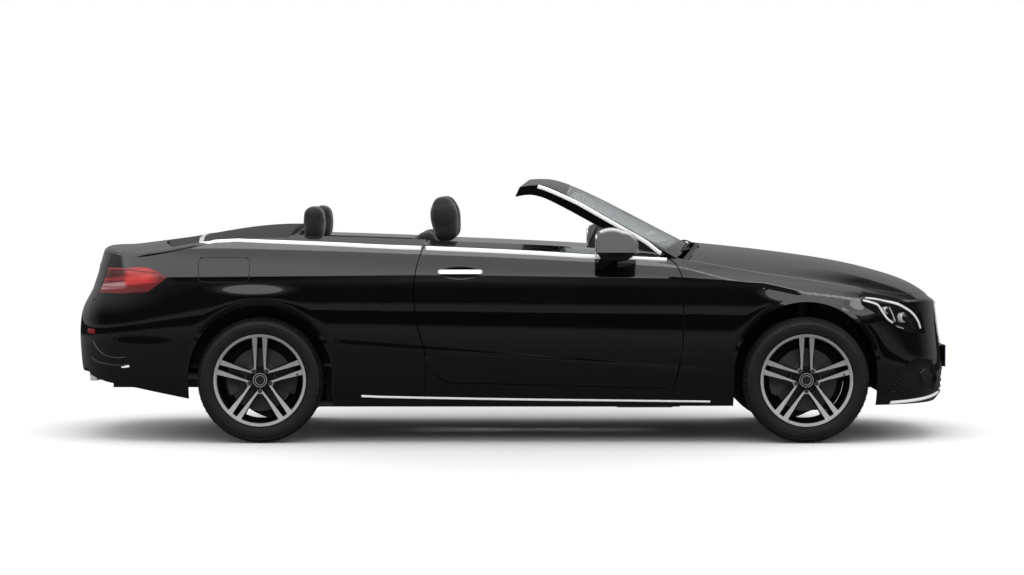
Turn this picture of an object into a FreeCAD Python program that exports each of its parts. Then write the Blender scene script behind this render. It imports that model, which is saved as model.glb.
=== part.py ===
"""Two-door convertible car, four seats, soft top folded away.

Frame: +X forward, +Y left, +Z up, millimetres. Origin on the ground under the middle of the car.
Shape tables are drawn on the base car and stretched to the driving sizes by along() and across().
"""
import FreeCAD, Part
import math
import os
from FreeCAD import Vector

os.makedirs("parts", exist_ok=True)

# ---- driving sizes -------------------------------------------------------------------------
WHEELBASE = 2840.0
FRONT_OVERHANG = 820.0
REAR_OVERHANG = 1026.0
BODY_WIDTH = 1810.0
TRACK_FRONT = 1588.0
TRACK_REAR = 1570.0
TYRE_RADIUS = 328.0
TYRE_WIDTH = 225.0
RIM_RADIUS = 240.0
RIM_LIP = 12.0
BEAD_DROP = 11.0
BEAD_GAP = 0.7
RIM_INSET = 2.0
FLANGE_WIDTH = 9.0
HUB_BORE = 33.3
BOLT_CIRCLE = 112.0
BOLT_HOLE = 7.5
SPOKE_PAIRS = 5
SPOKE_OFFSET = 27.0
SPOKE_HALF_HUB, SPOKE_DEPTH_HUB, SPOKE_START = 9.0, 34.0, 30.0
SPOKE_HALF_RIM, SPOKE_DEPTH_RIM = 15.0, 42.0
DISC_RADIUS = 165.0
DISC_THICKNESS = 28.0
SPINDLE_RADIUS = 22.0
PIN_CLEARANCE = 0.05
BALL_REACH = 150.0
TOWER_FOOT = 690.0
STRUT_Y = 556.0
SKIN = 25.0
SHUT_GAP = 6.0
RUN_GAP = 6.0
SEAT_GAP = 0.3
EDGE_ROUND = 35.0
SILL_BOTTOM = 190.0
SILL_TOP = 262.0
FLOOR_TOP = 235.0
FLOOR_THICKNESS = 30.0
DOOR_INNER_LOW = 742.0
DOOR_INNER_HIGH = 672.0
GLASS_THICKNESS = 5.0
ARCH_RADIUS_FRONT = 376.0
ARCH_LIFT_FRONT = 32.0
ARCH_RADIUS_REAR = 376.0
ARCH_LIFT_REAR = 14.0
HOUSE_INNER_FRONT = 500.0
HOUSE_INNER_REAR = 640.0
HOUSE_WALL = 14.0
STEERING_RADIUS = 185.0
STEERING_RIM = 15.0
SEAT_WIDTH = 496.0
SEAT_CENTRE = 370.0

# ---- base car the tables are drawn on, and the stretch to the driving sizes -------------------
BASE_FRONT_AXLE, BASE_REAR_AXLE = 1523.0, -1317.0
BASE_NOSE, BASE_TAIL, BASE_HALF = 2343.0, -2343.0, 905.0
LENGTH = WHEELBASE + FRONT_OVERHANG + REAR_OVERHANG
FRONT_AXLE = LENGTH / 2 - FRONT_OVERHANG
REAR_AXLE = FRONT_AXLE - WHEELBASE
HALF_WIDTH = BODY_WIDTH / 2


def along(x):
    """Base-car X to this car's X: nose, cabin and tail stretch apart at the axles."""
    if x >= BASE_FRONT_AXLE:
        return FRONT_AXLE + (x - BASE_FRONT_AXLE) * FRONT_OVERHANG / (BASE_NOSE - BASE_FRONT_AXLE)
    if x <= BASE_REAR_AXLE:
        return REAR_AXLE - (BASE_REAR_AXLE - x) * REAR_OVERHANG / (BASE_REAR_AXLE - BASE_TAIL)
    return REAR_AXLE + (x - BASE_REAR_AXLE) * WHEELBASE / (BASE_FRONT_AXLE - BASE_REAR_AXLE)


def across(y):
    """Base-car Y to this car's Y: the sides move out with the body width, by the same shift."""
    shift = HALF_WIDTH - BASE_HALF
    reach = min(1.0, abs(y) / 500.0)
    return y + math.copysign(shift * reach, y)


# ---- small shape helpers ----------------------------------------------------------------------
def box(x0, x1, y0, y1, z0, z1):
    corner = Vector(min(x0, x1), min(y0, y1), min(z0, z1))
    return Part.makeBox(abs(x1 - x0), abs(y1 - y0), abs(z1 - z0), corner)


def cylinder(radius, start, end):
    axis = end - start
    return Part.makeCylinder(radius, axis.Length, start, axis)


def wire(points, place):
    """Closed wire of lines and arcs. An entry with four numbers is an arc: middle u, v, end u, v."""
    edges = []
    here = place(*points[0][-2:])
    for entry in list(points[1:]) + [points[0]]:
        there = place(*entry[-2:])
        if len(entry) == 4:
            edges.append(Part.Arc(here, place(*entry[:2]), there).toShape())
        elif (there - here).Length > 1e-6:
            edges.append(Part.LineSegment(here, there).toShape())
        here = there
    return Part.Wire(edges)


def side_prism(points, y0, y1, grow=0.0):
    """Outline in XZ, pushed along Y."""
    face = Part.Face(wire(points, lambda x, z: Vector(x, min(y0, y1), z)))
    if grow:
        face = face.makeOffset2D(grow)
    return face.extrude(Vector(0, abs(y1 - y0), 0))


def plan_prism(points, z0, z1, grow=0.0):
    """Outline in XY, pushed along Z."""
    face = Part.Face(wire(points, lambda x, y: Vector(x, y, z0)))
    if grow:
        face = face.makeOffset2D(grow)
    return face.extrude(Vector(0, 0, z1 - z0))


def section_prism(points, x0, x1):
    """Outline in YZ, pushed along X."""
    face = Part.Face(wire(points, lambda y, z: Vector(x0, y, z)))
    return face.extrude(Vector(x1 - x0, 0, 0))


def other_side(shape):
    return shape.mirror(Vector(0, 0, 0), Vector(0, 1, 0))


def both(shape):
    return shape.fuse(other_side(shape))


def fuse(*shapes):
    return shapes[0].fuse(list(shapes[1:]))


def biggest(shape):
    return max(shape.Solids, key=lambda solid: solid.Volume)


NODES = {}


def node_sides(name):
    return [NODES[name + "_right"], NODES[name + "_left"]]


def keep(name, shape, solids=1):
    """Files a node's solids, largest first, leaving out slivers cut off by the trimming."""
    parts = sorted(shape.Solids, key=lambda solid: -solid.Volume)[:solids]
    NODES[name] = parts[0] if len(parts) == 1 else Part.makeCompound(parts)


# ---- body surface -----------------------------------------------------------------------------
# Plan outline of the body at each height, from sill to above the belt.
SIDE_ROWS = (
    # z_rear, z_front, half, nose, tail
    (190, 190, 820, 2290, -2260),
    (235, 232, 862, 2325, -2300),
    (330, 300, 886, 2334, -2330),
    (470, 385, 897, 2328, -2341),
    (520, 430, 903, 2322, -2342),
    (660, 590, 905, 2300, -2336),
    (770, 740, 903, 2285, -2270),
    (845, 825, 896, 2270, -2248),
    (880, 860, 888, 2262, -2240),
    (970, 920, 848, 2240, -2215),
    (1045, 980, 806, 2200, -2190),
    (1120, 1060, 740, 2100, -2140),
    (1250, 1250, 600, 1950, -2000),
)
END_TURNS = (0, 9, 18, 27, 36, 45, 54, 62, 69, 75, 80, 84, 87, 89)
NOSE_START, NOSE_SQUARE_X, NOSE_SQUARE_Y = 300.0, 8.0, 2.6
TAIL_START, TAIL_SQUARE_X, TAIL_SQUARE_Y = -100.0, 9.0, 3.0
MID_STATIONS = (600, 100, -500)

# Upper surface along the car: its height on the centreline and how far it falls by y = 750.
TOP_STATIONS = (
    # x, z, drop
    (2500, 400, 90), (2400, 560, 90), (2330, 650, 95), (2282, 712, 100), (2242, 755, 105),
    (2200, 792, 110), (2140, 826, 115), (2070, 855, 118), (1940, 893, 120), (1800, 928, 120),
    (1600, 962, 118), (1320, 998, 115), (1100, 1021, 105), (900, 1039, 85), (500, 1060, 62),
    (0, 1083, 60), (-500, 1105, 62), (-900, 1125, 70), (-1200, 1138, 76), (-1400, 1122, 58),
    (-1580, 1092, 36), (-1730, 1064, 40), (-1860, 1048, 50), (-2000, 1030, 55),
    (-2090, 1019, 50), (-2160, 1020, 45), (-2230, 1012, 42), (-2300, 1000, 40), (-2400, 990, 40),
)
TOP_OFFSETS = (1050, 900, 750, 550, 300)
DROP_AT, DROP_POWER = 750.0, 2.6


def patch(rows, mirrored=False, from_row=0.0, to_row=None, side_share=1.0):
    """Uniform cubic B-spline sheet over a net of poles, running through the outermost poles.

    It can be cut down to part of its rows and to a share of its half width.
    """
    if mirrored:
        rows = [[flip(row[1])] + row + [flip(row[-2])] for row in rows]
    else:
        rows = [[row[0] * 2 - row[1]] + row + [row[-1] * 2 - row[-2]] for row in rows]
    first = [a * 2 - b for a, b in zip(rows[0], rows[1])]
    last = [a * 2 - b for a, b in zip(rows[-1], rows[-2])]
    net = [first] + rows + [last]
    count_u, count_v = len(net), len(net[0])
    sheet = Part.BSplineSurface()
    knots_u = [float(i) for i in range(count_u + 4)]
    knots_v = [float(i) for i in range(count_v + 4)]
    ones_u, ones_v = [1] * len(knots_u), [1] * len(knots_v)
    sheet.buildFromPolesMultsKnots(net, ones_u, ones_v, knots_u, knots_v, False, False, 3, 3)
    low_u, middle, half = 3.0, (3.0 + count_v) / 2, (count_v - 3.0) / 2 * side_share
    high_u = float(count_u) if to_row is None else low_u + to_row
    sheet.segment(low_u + from_row, high_u, middle - half, middle + half)
    return sheet.toShape()


def flip(point):
    return Vector(point.x, -point.y, point.z)


def plan_ring(row, inset):
    """Right half of the plan outline at one height, nose to tail, as poles."""
    z_rear, z_front, half, nose, tail = row
    half, nose, tail = half - inset, nose - inset, tail + inset
    plan = []
    for turn in END_TURNS:
        angle = math.radians(turn)
        x = NOSE_START + (nose - NOSE_START) * math.cos(angle) ** (2 / NOSE_SQUARE_X)
        plan.append((x, half * math.sin(angle) ** (2 / NOSE_SQUARE_Y)))
    plan += [(x, half) for x in MID_STATIONS]
    for turn in reversed(END_TURNS):
        angle = math.radians(turn)
        x = TAIL_START + (tail - TAIL_START) * math.cos(angle) ** (2 / TAIL_SQUARE_X)
        plan.append((x, half * math.sin(angle) ** (2 / TAIL_SQUARE_Y)))
    ring = []
    for x, y in plan:
        share = (BASE_FRONT_AXLE - x) / (BASE_FRONT_AXLE - BASE_REAR_AXLE)
        ring.append(Vector(along(x), -across(y), z_front + (z_rear - z_front) * share))
    return ring


def side_block(inset):
    """Closed solid bounded by the body sides, nose and tail."""
    right = patch([plan_ring(row, inset) for row in SIDE_ROWS], True)
    faces = [right, other_side(right)]
    for level in (SIDE_ROWS[0][0], SIDE_ROWS[-1][0]):
        rim = []
        for edge in right.Edges + faces[1].Edges:
            span = edge.BoundBox
            if abs(span.ZMin - level) < 1e-6 and abs(span.ZMax - level) < 1e-6:
                rim.append(edge)
        faces.append(Part.Face(Part.Wire(Part.__sortEdges__(rim))))
    hull = Part.makeCompound(faces)
    hull.sewShape()
    return Part.makeSolid(hull if hull.ShapeType == "Shell" else hull.Shells[0])


def top_block(inset):
    rows = []
    for x, z, drop in TOP_STATIONS:
        offsets = [-y for y in TOP_OFFSETS] + [0] + [y for y in reversed(TOP_OFFSETS)]
        row = [Vector(along(x), across(y), z - inset - drop * (abs(y) / DROP_AT) ** DROP_POWER)
               for y in offsets]
        rows.append(row)
    return patch(rows, False).extrude(Vector(0, 0, -1400))


def body_block(inset):
    block = side_block(inset).common(top_block(inset))
    if inset == 0:
        shoulder = [edge for edge in block.Edges
                    if edge.BoundBox.XLength > 1000 and edge.BoundBox.ZMin > SILL_BOTTOM + 100]
        block = block.makeFillet(EDGE_ROUND, shoulder)
    return block


BODY = body_block(0)
CORE = body_block(SKIN)
CORE_CLEAR = body_block(SKIN + SEAT_GAP)


def skin(region):
    """The part of the body wall that a region holds."""
    return BODY.common(region).cut(CORE)


# ---- outlines -----------------------------------------------------------------------------------
REACH = HALF_WIDTH + 200.0
DOOR_FRONT, DOOR_REAR = along(884), along(-519)
DOOR_OUTLINE = (
    (along(-440), 1075), (along(-500), 930, DOOR_REAR, 800),
    (along(-503), 640, along(-455), 460), (along(-400), 352, along(-250), 312),
    (along(832), 283), (along(868), 430, DOOR_FRONT, 600), (DOOR_FRONT, 780),
    (along(873), 875, along(838), 940), (along(780), 985), (along(780), 1075),
)


def door_region(grow):
    return side_prism(DOOR_OUTLINE, -REACH, 0, grow)


# Half of the bonnet's plan outline, from the windscreen to the nose.
BONNET_OUTLINE = (
    (along(1005), 0), (along(985), across(-420), along(915), across(-735)),
    (along(1320), across(-752)), (along(1600), across(-748)), (along(1830), across(-742)),
    (along(2060), across(-660)), (along(2175), across(-470), along(2216), 0),
)
# Soft top lid, between the rear seats and the boot lid.
TOP_LID_OUTLINE = (
    (along(-1150), 0), (along(-1155), across(-400), along(-1182), across(-712)),
    (along(-1480), across(-722), along(-1780), across(-700)),
    (along(-1846), across(-380), along(-1866), 0),
)
BOOT_LID_OUTLINE = (
    (along(-1872), 0), (along(-1852), across(-380), along(-1786), across(-696)),
    (along(-1955), across(-696)), (along(-2030), across(-668), along(-2062), across(-604)),
    (along(-2420), across(-604)), (along(-2420), 0),
)
BOOT_LID_FOOT = 735.0
BONNET_FOOT = 742.0


def mirrored_plan(outline):
    """Closes a half outline on the -Y side with its own mirror image."""
    back = []
    points = list(outline)
    for index in range(len(points) - 1, 0, -1):
        entry, before = points[index], points[index - 1]
        if len(entry) == 4:
            back.append((entry[0], -entry[1], before[-2], -before[-1]))
        else:
            back.append((before[-2], -before[-1]))
    return points + back[:-1] + [back[-1]] if len(back[-1]) == 4 else points + back[:-1]


def plan_region(outline, low, high, grow):
    return plan_prism(mirrored_plan(outline), low, high, grow)


HEADLAMP_OUTLINE = (
    (along(1800), 757), (along(1815), 782, along(1850), 779), (along(1990), 752, along(2110), 706),
    (along(2150), 670), (along(2172), 560), (along(2040), 583), (along(1813), 718),
)
TAIL_LAMP_OUTLINE = (
    (along(-1800), 862), (along(-1900), 908, along(-2040), 908), (along(-2420), 912),
    (along(-2420), 782), (along(-2060), 774), (along(-1900), 786),
)
LAMP_INNER_FRONT, LAMP_INNER_REAR = 455.0, 566.0

# Front bumper: everything ahead of this line; the fender is behind it.
FRONT_BUMPER_OUTLINE = (
    (along(1800), 100), (along(1800), 672), (along(1870), 690, along(1990), 690),
    (along(2170), BONNET_FOOT - SHUT_GAP), (along(2420), BONNET_FOOT - SHUT_GAP),
    (along(2420), 100),
)
REAR_BUMPER_OUTLINE = (
    (along(-1560), 100), (along(-1560), 676), (along(-1700), 745, along(-1850), 768),
    (along(-2060), 770), (along(-2420), 770), (along(-2420), 100),
)


def arch_region(axle, radius, lift, inner, grow=0.0):
    """Space of one wheel arch on the -Y side: a round top on straight sides."""
    centre = TYRE_RADIUS + lift
    r = radius + grow
    outline = ((axle - r, 0), (axle - r, centre), (axle, centre + r, axle + r, centre),
               (axle + r, 0))
    return side_prism(outline, -REACH, -inner)


ARCH_FRONT = arch_region(FRONT_AXLE, ARCH_RADIUS_FRONT, ARCH_LIFT_FRONT, HOUSE_INNER_FRONT)
ARCH_REAR = arch_region(REAR_AXLE, ARCH_RADIUS_REAR, ARCH_LIFT_REAR, HOUSE_INNER_REAR)
ARCHES = fuse(both(ARCH_FRONT), both(ARCH_REAR))

# ---- skins ----------------------------------------------------------------------------------------
HALF_GAP = SHUT_GAP / 2
PLATE_WIDTH, PLATE_RECESS = 520.0, 12.0
# The boot lid swings up and back, so its side and rear edges are thin and the inner panel stands off.
LID_EDGE_THICKNESS, LID_EDGE_STEP, LID_EXTRA_GAP = 6.0, 9.0, 1.0
LID_EDGE_RELIEF = plan_region(BOOT_LID_OUTLINE, BOOT_LID_FOOT, 1500, 0).cut(
    plan_region(BOOT_LID_OUTLINE, BOOT_LID_FOOT - 5, 1505, -HALF_GAP - LID_EDGE_STEP)).common(
    body_block(LID_EDGE_THICKNESS))
DOOR_HOLE = both(door_region(HALF_GAP)).common(top_block(-SHUT_GAP))
BONNET_HOLE = plan_region(BONNET_OUTLINE, BONNET_FOOT, 1500, HALF_GAP)
TOP_LID_HOLE = plan_region(TOP_LID_OUTLINE, 700, 1500, HALF_GAP)
BOOT_LID_HOLE = plan_region(BOOT_LID_OUTLINE, BOOT_LID_FOOT - HALF_GAP, 1500, HALF_GAP)


def bonnet():
    keep("bonnet", skin(plan_region(BONNET_OUTLINE, BONNET_FOOT, 1500, -HALF_GAP)))


def lids():
    keep("tonneau_lid", skin(plan_region(TOP_LID_OUTLINE, 700, 1500, -HALF_GAP)))
    low = BOOT_LID_FOOT + HALF_GAP
    lid = skin(plan_region(BOOT_LID_OUTLINE, low, 1500, -HALF_GAP - LID_EXTRA_GAP))
    recess = box(along(-2420), along(-2150), -PLATE_WIDTH / 2 - 8, PLATE_WIDTH / 2 + 8,
                 BOOT_LID_FOOT + 32, BOOT_LID_FOOT + 160)
    keep("boot_lid", biggest(lid.cut([recess.cut(body_block(PLATE_RECESS)), LID_EDGE_RELIEF])))


# Inner face of the doors, from sill to belt: y, z
DOOR_INNER = (
    (-DOOR_INNER_LOW - 20, 100), (-DOOR_INNER_LOW, 380), (-DOOR_INNER_HIGH - 22, 640),
    (-DOOR_INNER_HIGH - 8, 850), (-DOOR_INNER_HIGH, 1300), (-REACH, 1300), (-REACH, 100),
)
HANDLE_X, HANDLE_Z, HANDLE_LENGTH, HANDLE_HEIGHT = along(-276), 892.0, 230.0, 22.0
HANDLE_STAND, HANDLE_THICKNESS = 5.0, 9.0
GRIP_BOWL = (104.0, 26.0, 44.0)
BODY_SIDE_AT_HANDLE, GRIP_BOWL_SINK = 14.0, 6.0
# Under its outer skin the door's rear edge steps forward, so that it swings clear of the pillar.
DOOR_EDGE_THICKNESS, DOOR_STEP = 12.0, 14.0


def pill(x, z, length, height):
    """Outline of a bar with round ends, in XZ."""
    u, r = (length - height) / 2, height / 2
    return ((x - u, z - r), (x - u - r, z, x - u, z + r), (x + u, z + r), (x + u + r, z, x + u, z - r))


def doors():
    """Each door is the whole wall, skin to trim, with a grip bowl behind its pull handle."""
    wall = section_prism([(across(y), z) for y, z in DOOR_INNER], DOOR_REAR - 50, DOOR_FRONT + 50)
    door = BODY.common(door_region(-HALF_GAP)).common(wall)
    kept = door_region(-HALF_GAP)
    kept.translate(Vector(DOOR_STEP, 0, 0))
    step = box(DOOR_REAR - 50, DOOR_REAR + 300, -REACH, -500, 200, 1200)
    step = step.common(body_block(DOOR_EDGE_THICKNESS)).cut(kept)
    bowl_size = FreeCAD.Matrix()
    bowl_size.scale(*GRIP_BOWL)
    bowl = Part.makeSphere(1.0).transformGeometry(bowl_size)
    bowl.translate(Vector(HANDLE_X, GRIP_BOWL_SINK + BODY_SIDE_AT_HANDLE - HALF_WIDTH, HANDLE_Z))
    door = biggest(door.cut([ARCHES, step, bowl]))
    keep("door_right", door)
    keep("door_left", other_side(door))
    bar = side_prism(pill(HANDLE_X, HANDLE_Z, HANDLE_LENGTH, HANDLE_HEIGHT), -REACH, -500)
    grip = bar.common(body_block(-HANDLE_STAND - HANDLE_THICKNESS)).cut(body_block(-HANDLE_STAND))
    foot = box(HANDLE_X - HANDLE_LENGTH / 2 + 4, HANDLE_X - HANDLE_LENGTH / 2 + 20, -REACH, -500,
               HANDLE_Z - 7, HANDLE_Z + 7)
    far_foot = foot.translated(Vector(HANDLE_LENGTH - 24, 0, 0))
    feet = foot.fuse(far_foot).common(body_block(-HANDLE_STAND - 2)).cut(door)
    handle = biggest(fuse(grip, *[piece for piece in feet.Solids
                                  if piece.BoundBox.YMin < -HALF_WIDTH + 60]))
    keep("door_handle_right", handle)
    keep("door_handle_left", other_side(handle))


CABIN = box(along(-1182), along(905), across(-662), across(662), FLOOR_TOP, 1500)
FLANGE_REACH, FLANGE_THICKNESS, FLANGE_SPLIT = 20.0, 6.0, 600.0


def seal_flange(*outlines):
    """Ledge that a lid's edge comes down on, all round its opening."""
    rings = [plan_region(outline, 700, 1500, FLANGE_REACH).cut(
        plan_region(outline, 700, 1500, -FLANGE_REACH)) for outline in outlines]
    return FLANGE_LAYER.common(fuse(*rings) if len(rings) > 1 else rings[0])


FLANGE_LAYER = CORE_CLEAR.cut(body_block(SKIN + FLANGE_THICKNESS))
REAR_FLANGES = seal_flange(TOP_LID_OUTLINE, BOOT_LID_OUTLINE)


def fenders():
    region = side_prism(((DOOR_FRONT - 60, 200), (DOOR_FRONT - 60, 1300), (along(2300), 1300),
                         (along(2300), 200)), -REACH, -across(400))
    region = region.cut(side_prism(FRONT_BUMPER_OUTLINE, -REACH, REACH, SEAT_GAP))
    region = region.cut(side_prism(HEADLAMP_OUTLINE, -REACH, REACH, 1.0))
    region = region.cut(box(along(-1500), along(2400), -REACH, REACH, 0, SILL_TOP + SEAT_GAP))
    wing = skin(region).cut([BONNET_HOLE, DOOR_HOLE, ARCH_FRONT, CABIN])
    wing = biggest(wing.cut(plan_region(COWL_OUTLINE, 700, 1500, SEAT_GAP)))
    wing = biggest(fuse(wing, seal_flange(BONNET_OUTLINE).common(region).cut(CABIN)))
    keep("fender_right", wing)
    keep("fender_left", other_side(wing))


FLAP_GAP = 3.0
FUEL_FLAP = ((along(-1610), 838), (along(-1396), 838), (along(-1376), 844, along(-1370), 864),
             (along(-1370), 940), (along(-1376), 960, along(-1396), 966), (along(-1610), 966),
             (along(-1632), 960, along(-1638), 940), (along(-1638), 864), (along(-1632), 844,
                                                                         along(-1610), 838))

# Cowl between bonnet and windscreen.
COWL_OUTLINE = (
    (along(880), 0), (along(860), across(-420), along(770), across(-690)),
    (along(905), across(-738)), (along(978), across(-420), along(998), 0),
)


def side_frames():
    """Sill, door aperture and quarter panel of one side, with the rear wheel house."""
    rear = BODY.common(box(along(-2420), DOOR_REAR + 60, -REACH, -across(300), 100, 1500))
    outer = rear.cut(CORE)
    keep_out = [TOP_LID_HOLE, BOOT_LID_HOLE, ARCH_REAR,
                side_prism(REAR_BUMPER_OUTLINE, -REACH, REACH, SEAT_GAP),
                side_prism(TAIL_LAMP_OUTLINE, -REACH, -across(LAMP_INNER_REAR - 20), 1.0)]
    trim = rear.common(box(along(-1182), DOOR_REAR + 60, -across(692), -across(662), 200, 1500))
    pillar = rear.common(box(DOOR_REAR - 40, DOOR_REAR + 40, -REACH, -across(662), 200, 1500))
    closing = rear.common(box(along(-1212), along(-1182), -REACH, -across(662), 200, 1500))
    house = arch_region(REAR_AXLE, ARCH_RADIUS_REAR, ARCH_LIFT_REAR, HOUSE_INNER_REAR - HOUSE_WALL,
                        HOUSE_WALL).cut(ARCH_REAR)
    house = CORE_CLEAR.common(house).common(box(-5000, 5000, -REACH, 0, 400, 1200))
    flap = side_prism(FUEL_FLAP, -REACH, -600).cut(side_prism(FUEL_FLAP, -REACH, -600, -FLAP_GAP))
    sill = BODY.common(box(along(-960), along(1160), -REACH, -across(745), 150, 1500))
    sill = sill.common(section_prism([(y, z) for y, z in (
        (-REACH, 150), (-across(745), 150), (-across(745), SILL_TOP), (-REACH, SILL_TOP))],
        along(-960), along(1160)))
    frame = fuse(outer.cut(CABIN), trim, pillar, closing, sill)
    frame = biggest(frame.cut(keep_out + [DOOR_HOLE, ARCH_FRONT]))
    edge = box(-5000, 5000, -REACH, -across(FLANGE_SPLIT), 650, 1500)
    frame = biggest(fuse(frame, REAR_FLANGES.common(edge)))
    house = biggest(house.cut(frame))
    keep("rear_house_right", house)
    keep("rear_house_left", other_side(house))
    keep("side_frame_left", other_side(frame))
    keep("side_frame_right", frame.cut(flap.cut(body_block(FLAP_GAP + 2))))


PLATE_FACE = along(2333)
PLATE_HEIGHT = 421.0
TOW_TUBE_RADIUS, TOW_THREAD_RADIUS, TOW_THREAD_LENGTH = 17.0, 9.0, 60.0
TOW_MOUTH = Vector(along(2228), -across(418), 620)
GRILLE_OUTLINE = ((-430, 712), (-300, 726, 0, 730), (300, 726, 430, 712), (395, 570),
                  (330, 498), (200, 487, 0, 485), (-200, 487, -330, 498), (-395, 570))
INTAKE_OUTLINE = ((-470, 236), (-455, 320), (-390, 356), (390, 356), (455, 320), (470, 236))
SIDE_INTAKE = ((-800, 262), (-560, 262), (-540, 330), (-600, 420), (-740, 430), (-800, 380))


def nose_prism(points, grow=0.0):
    face = Part.Face(wire(points, lambda y, z: Vector(along(1900), across(y), z)))
    if grow:
        face = face.makeOffset2D(grow)
    return face.extrude(Vector(600, 0, 0))


def skin_fill(block):
    """A block that stands out of the body, without its part inside the skin's inner face."""
    return block.cut(CORE)


def front_end():
    region = side_prism(FRONT_BUMPER_OUTLINE, -REACH, REACH)
    cover = skin(region).cut([ARCHES, BONNET_HOLE])
    cover = cover.cut(both(side_prism(HEADLAMP_OUTLINE, -REACH, -across(LAMP_INNER_FRONT), 1.0)))
    holes = [nose_prism(GRILLE_OUTLINE), nose_prism(INTAKE_OUTLINE), nose_prism(SIDE_INTAKE)]
    holes.append(other_side(holes[2]))
    holes.append(cylinder(TOW_TUBE_RADIUS + 3, TOW_MOUTH - Vector(100, 0, 0),
                          TOW_MOUTH + Vector(200, 0, 0)))
    holder = skin_fill(box(along(2150), PLATE_FACE, -PLATE_WIDTH / 2, PLATE_WIDTH / 2,
                           PLATE_HEIGHT - 57, PLATE_HEIGHT + 57))
    keep("front_bumper", biggest(fuse(biggest(cover.cut(holes)), holder)))
    bars = skin(nose_prism(GRILLE_OUTLINE, -0.5))
    keep("grille", biggest(bars.cut([BONNET_HOLE, BODY_SHRUNK])))
    mesh = [BODY_SHRUNK.common(nose_prism(outline, -0.5)).cut(CORE)
            for outline in (INTAKE_OUTLINE, SIDE_INTAKE)]
    keep("intake_grilles", Part.makeCompound([biggest(mesh[0]), biggest(mesh[1]),
                                              biggest(other_side(mesh[1]))]), 3)


def lamps():
    front = skin(side_prism(HEADLAMP_OUTLINE, -REACH, -across(LAMP_INNER_FRONT)))
    front = biggest(front.cut([BONNET_HOLE, ARCH_FRONT]))
    keep("headlamps", Part.makeCompound([front, other_side(front)]), 2)
    rear = skin(side_prism(TAIL_LAMP_OUTLINE, -REACH, -across(LAMP_INNER_REAR)))
    rear = biggest(rear.cut([BOOT_LID_HOLE]))
    keep("tail_lamps", Part.makeCompound([rear, other_side(rear)]), 2)


TAIL_PIPE_Y, TAIL_PIPE_Z, TAIL_PIPE_WALL, TAIL_PIPE_CLEARANCE = -520.0, 337.0, 3.0, 8.0
TAIL_PIPE_WIDTH, TAIL_PIPE_HEIGHT = 112.0, 56.0


def tail_pipe(grow, x0, x1):
    """Flat-oval prism along X, grown or shrunk about the tail pipe's outline."""
    reach, r = (TAIL_PIPE_WIDTH - TAIL_PIPE_HEIGHT) / 2, TAIL_PIPE_HEIGHT / 2 + grow
    y, z = TAIL_PIPE_Y, TAIL_PIPE_Z
    return section_prism(((y - reach, z - r), (y - reach - r, z, y - reach, z + r),
                          (y + reach, z + r), (y + reach + r, z, y + reach, z - r)), x0, x1)


def rear_bumper():
    region = side_prism(REAR_BUMPER_OUTLINE, -REACH, REACH)
    cover = skin(region).cut([ARCHES, BOOT_LID_HOLE])
    cover = cover.cut(both(side_prism(TAIL_LAMP_OUTLINE, -REACH, -across(300), 1.0)))
    under = side_prism(((along(-1500), 100), (along(-1500), 205), (along(-1690), 228),
                        (along(-1960), 282), (along(-2140), 310), (along(-2500), 420),
                        (along(-2500), 100)), -REACH, REACH)
    pipe = tail_pipe(TAIL_PIPE_CLEARANCE, along(-2500), along(-2100))
    keep("rear_bumper", biggest(cover.cut([under, pipe])))


BODY_SHRUNK = body_block(12)


# ---- windscreen -----------------------------------------------------------------------------------
# Outer surface of the windscreen: x and z of its centre and edge, and the edge's y, bottom to top.
SCREEN_ROWS = (
    # x_mid, z_mid, x_edge, z_edge, y_edge
    (1020, 996, 905, 930, 752),
    (830, 1092, 690, 1054, 700),
    (600, 1212, 450, 1190, 640),
    (400, 1313, 262, 1292, 598),
    (215, 1384, 130, 1352, 568),
    (95, 1376, 35, 1330, 556),
)
SCREEN_DEPTH = 56.0
SCREEN_LEAN = Vector(-0.42, 0, -0.91)


def screen_sheet(from_row, to_row, side_share):
    """Part of the windscreen surface, by rows and by a share of its half width."""
    rows = []
    for x_mid, z_mid, x_edge, z_edge, y_edge in SCREEN_ROWS:
        row = []
        for share in (-1.0, -0.8, -0.45, 0.0, 0.45, 0.8, 1.0):
            bow = abs(share) ** 2
            row.append(Vector(along(x_mid + (x_edge - x_mid) * bow), across(y_edge * share),
                              z_mid + (z_edge - z_mid) * bow))
        rows.append(row)
    return patch(rows, False, from_row, to_row, side_share)


def windscreen():
    last = len(SCREEN_ROWS) - 1.0
    block = screen_sheet(0.25, last, 1.0).extrude(SCREEN_LEAN * SCREEN_DEPTH)
    pane = screen_sheet(0.62, last - 0.85, 0.88)
    hole = pane.extrude(SCREEN_LEAN * (SCREEN_DEPTH + 40)).fuse(pane.extrude(SCREEN_LEAN * -40))
    seat = screen_sheet(0.55, last - 0.78, 0.92)
    glass = seat.extrude(SCREEN_LEAN * GLASS_THICKNESS)
    frame = block.cut([hole, seat.extrude(SCREEN_LEAN * GLASS_THICKNESS)])
    swing = both(door_region(SHUT_GAP)).common(top_block(-2 * SHUT_GAP))
    frame = frame.cut([BONNET_HOLE, swing, *node_sides("fender")])
    keep("windscreen_frame", biggest(frame))
    keep("windscreen_glass", glass)


def above_screen(depth):
    """Everything above a sheet that lies this deep under the windscreen's outer surface."""
    sheet = screen_sheet(0.0, len(SCREEN_ROWS) - 1.0, 1.0)
    sheet.translate(SCREEN_LEAN * depth)
    return sheet.extrude(Vector(0, 0, 700))


def cowl():
    panel = skin(plan_region(COWL_OUTLINE, 850, 1500, 0.0)).cut([BONNET_HOLE, DOOR_HOLE])
    keep("cowl", biggest(panel.cut(above_screen(SCREEN_DEPTH + SEAT_GAP))))


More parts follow.
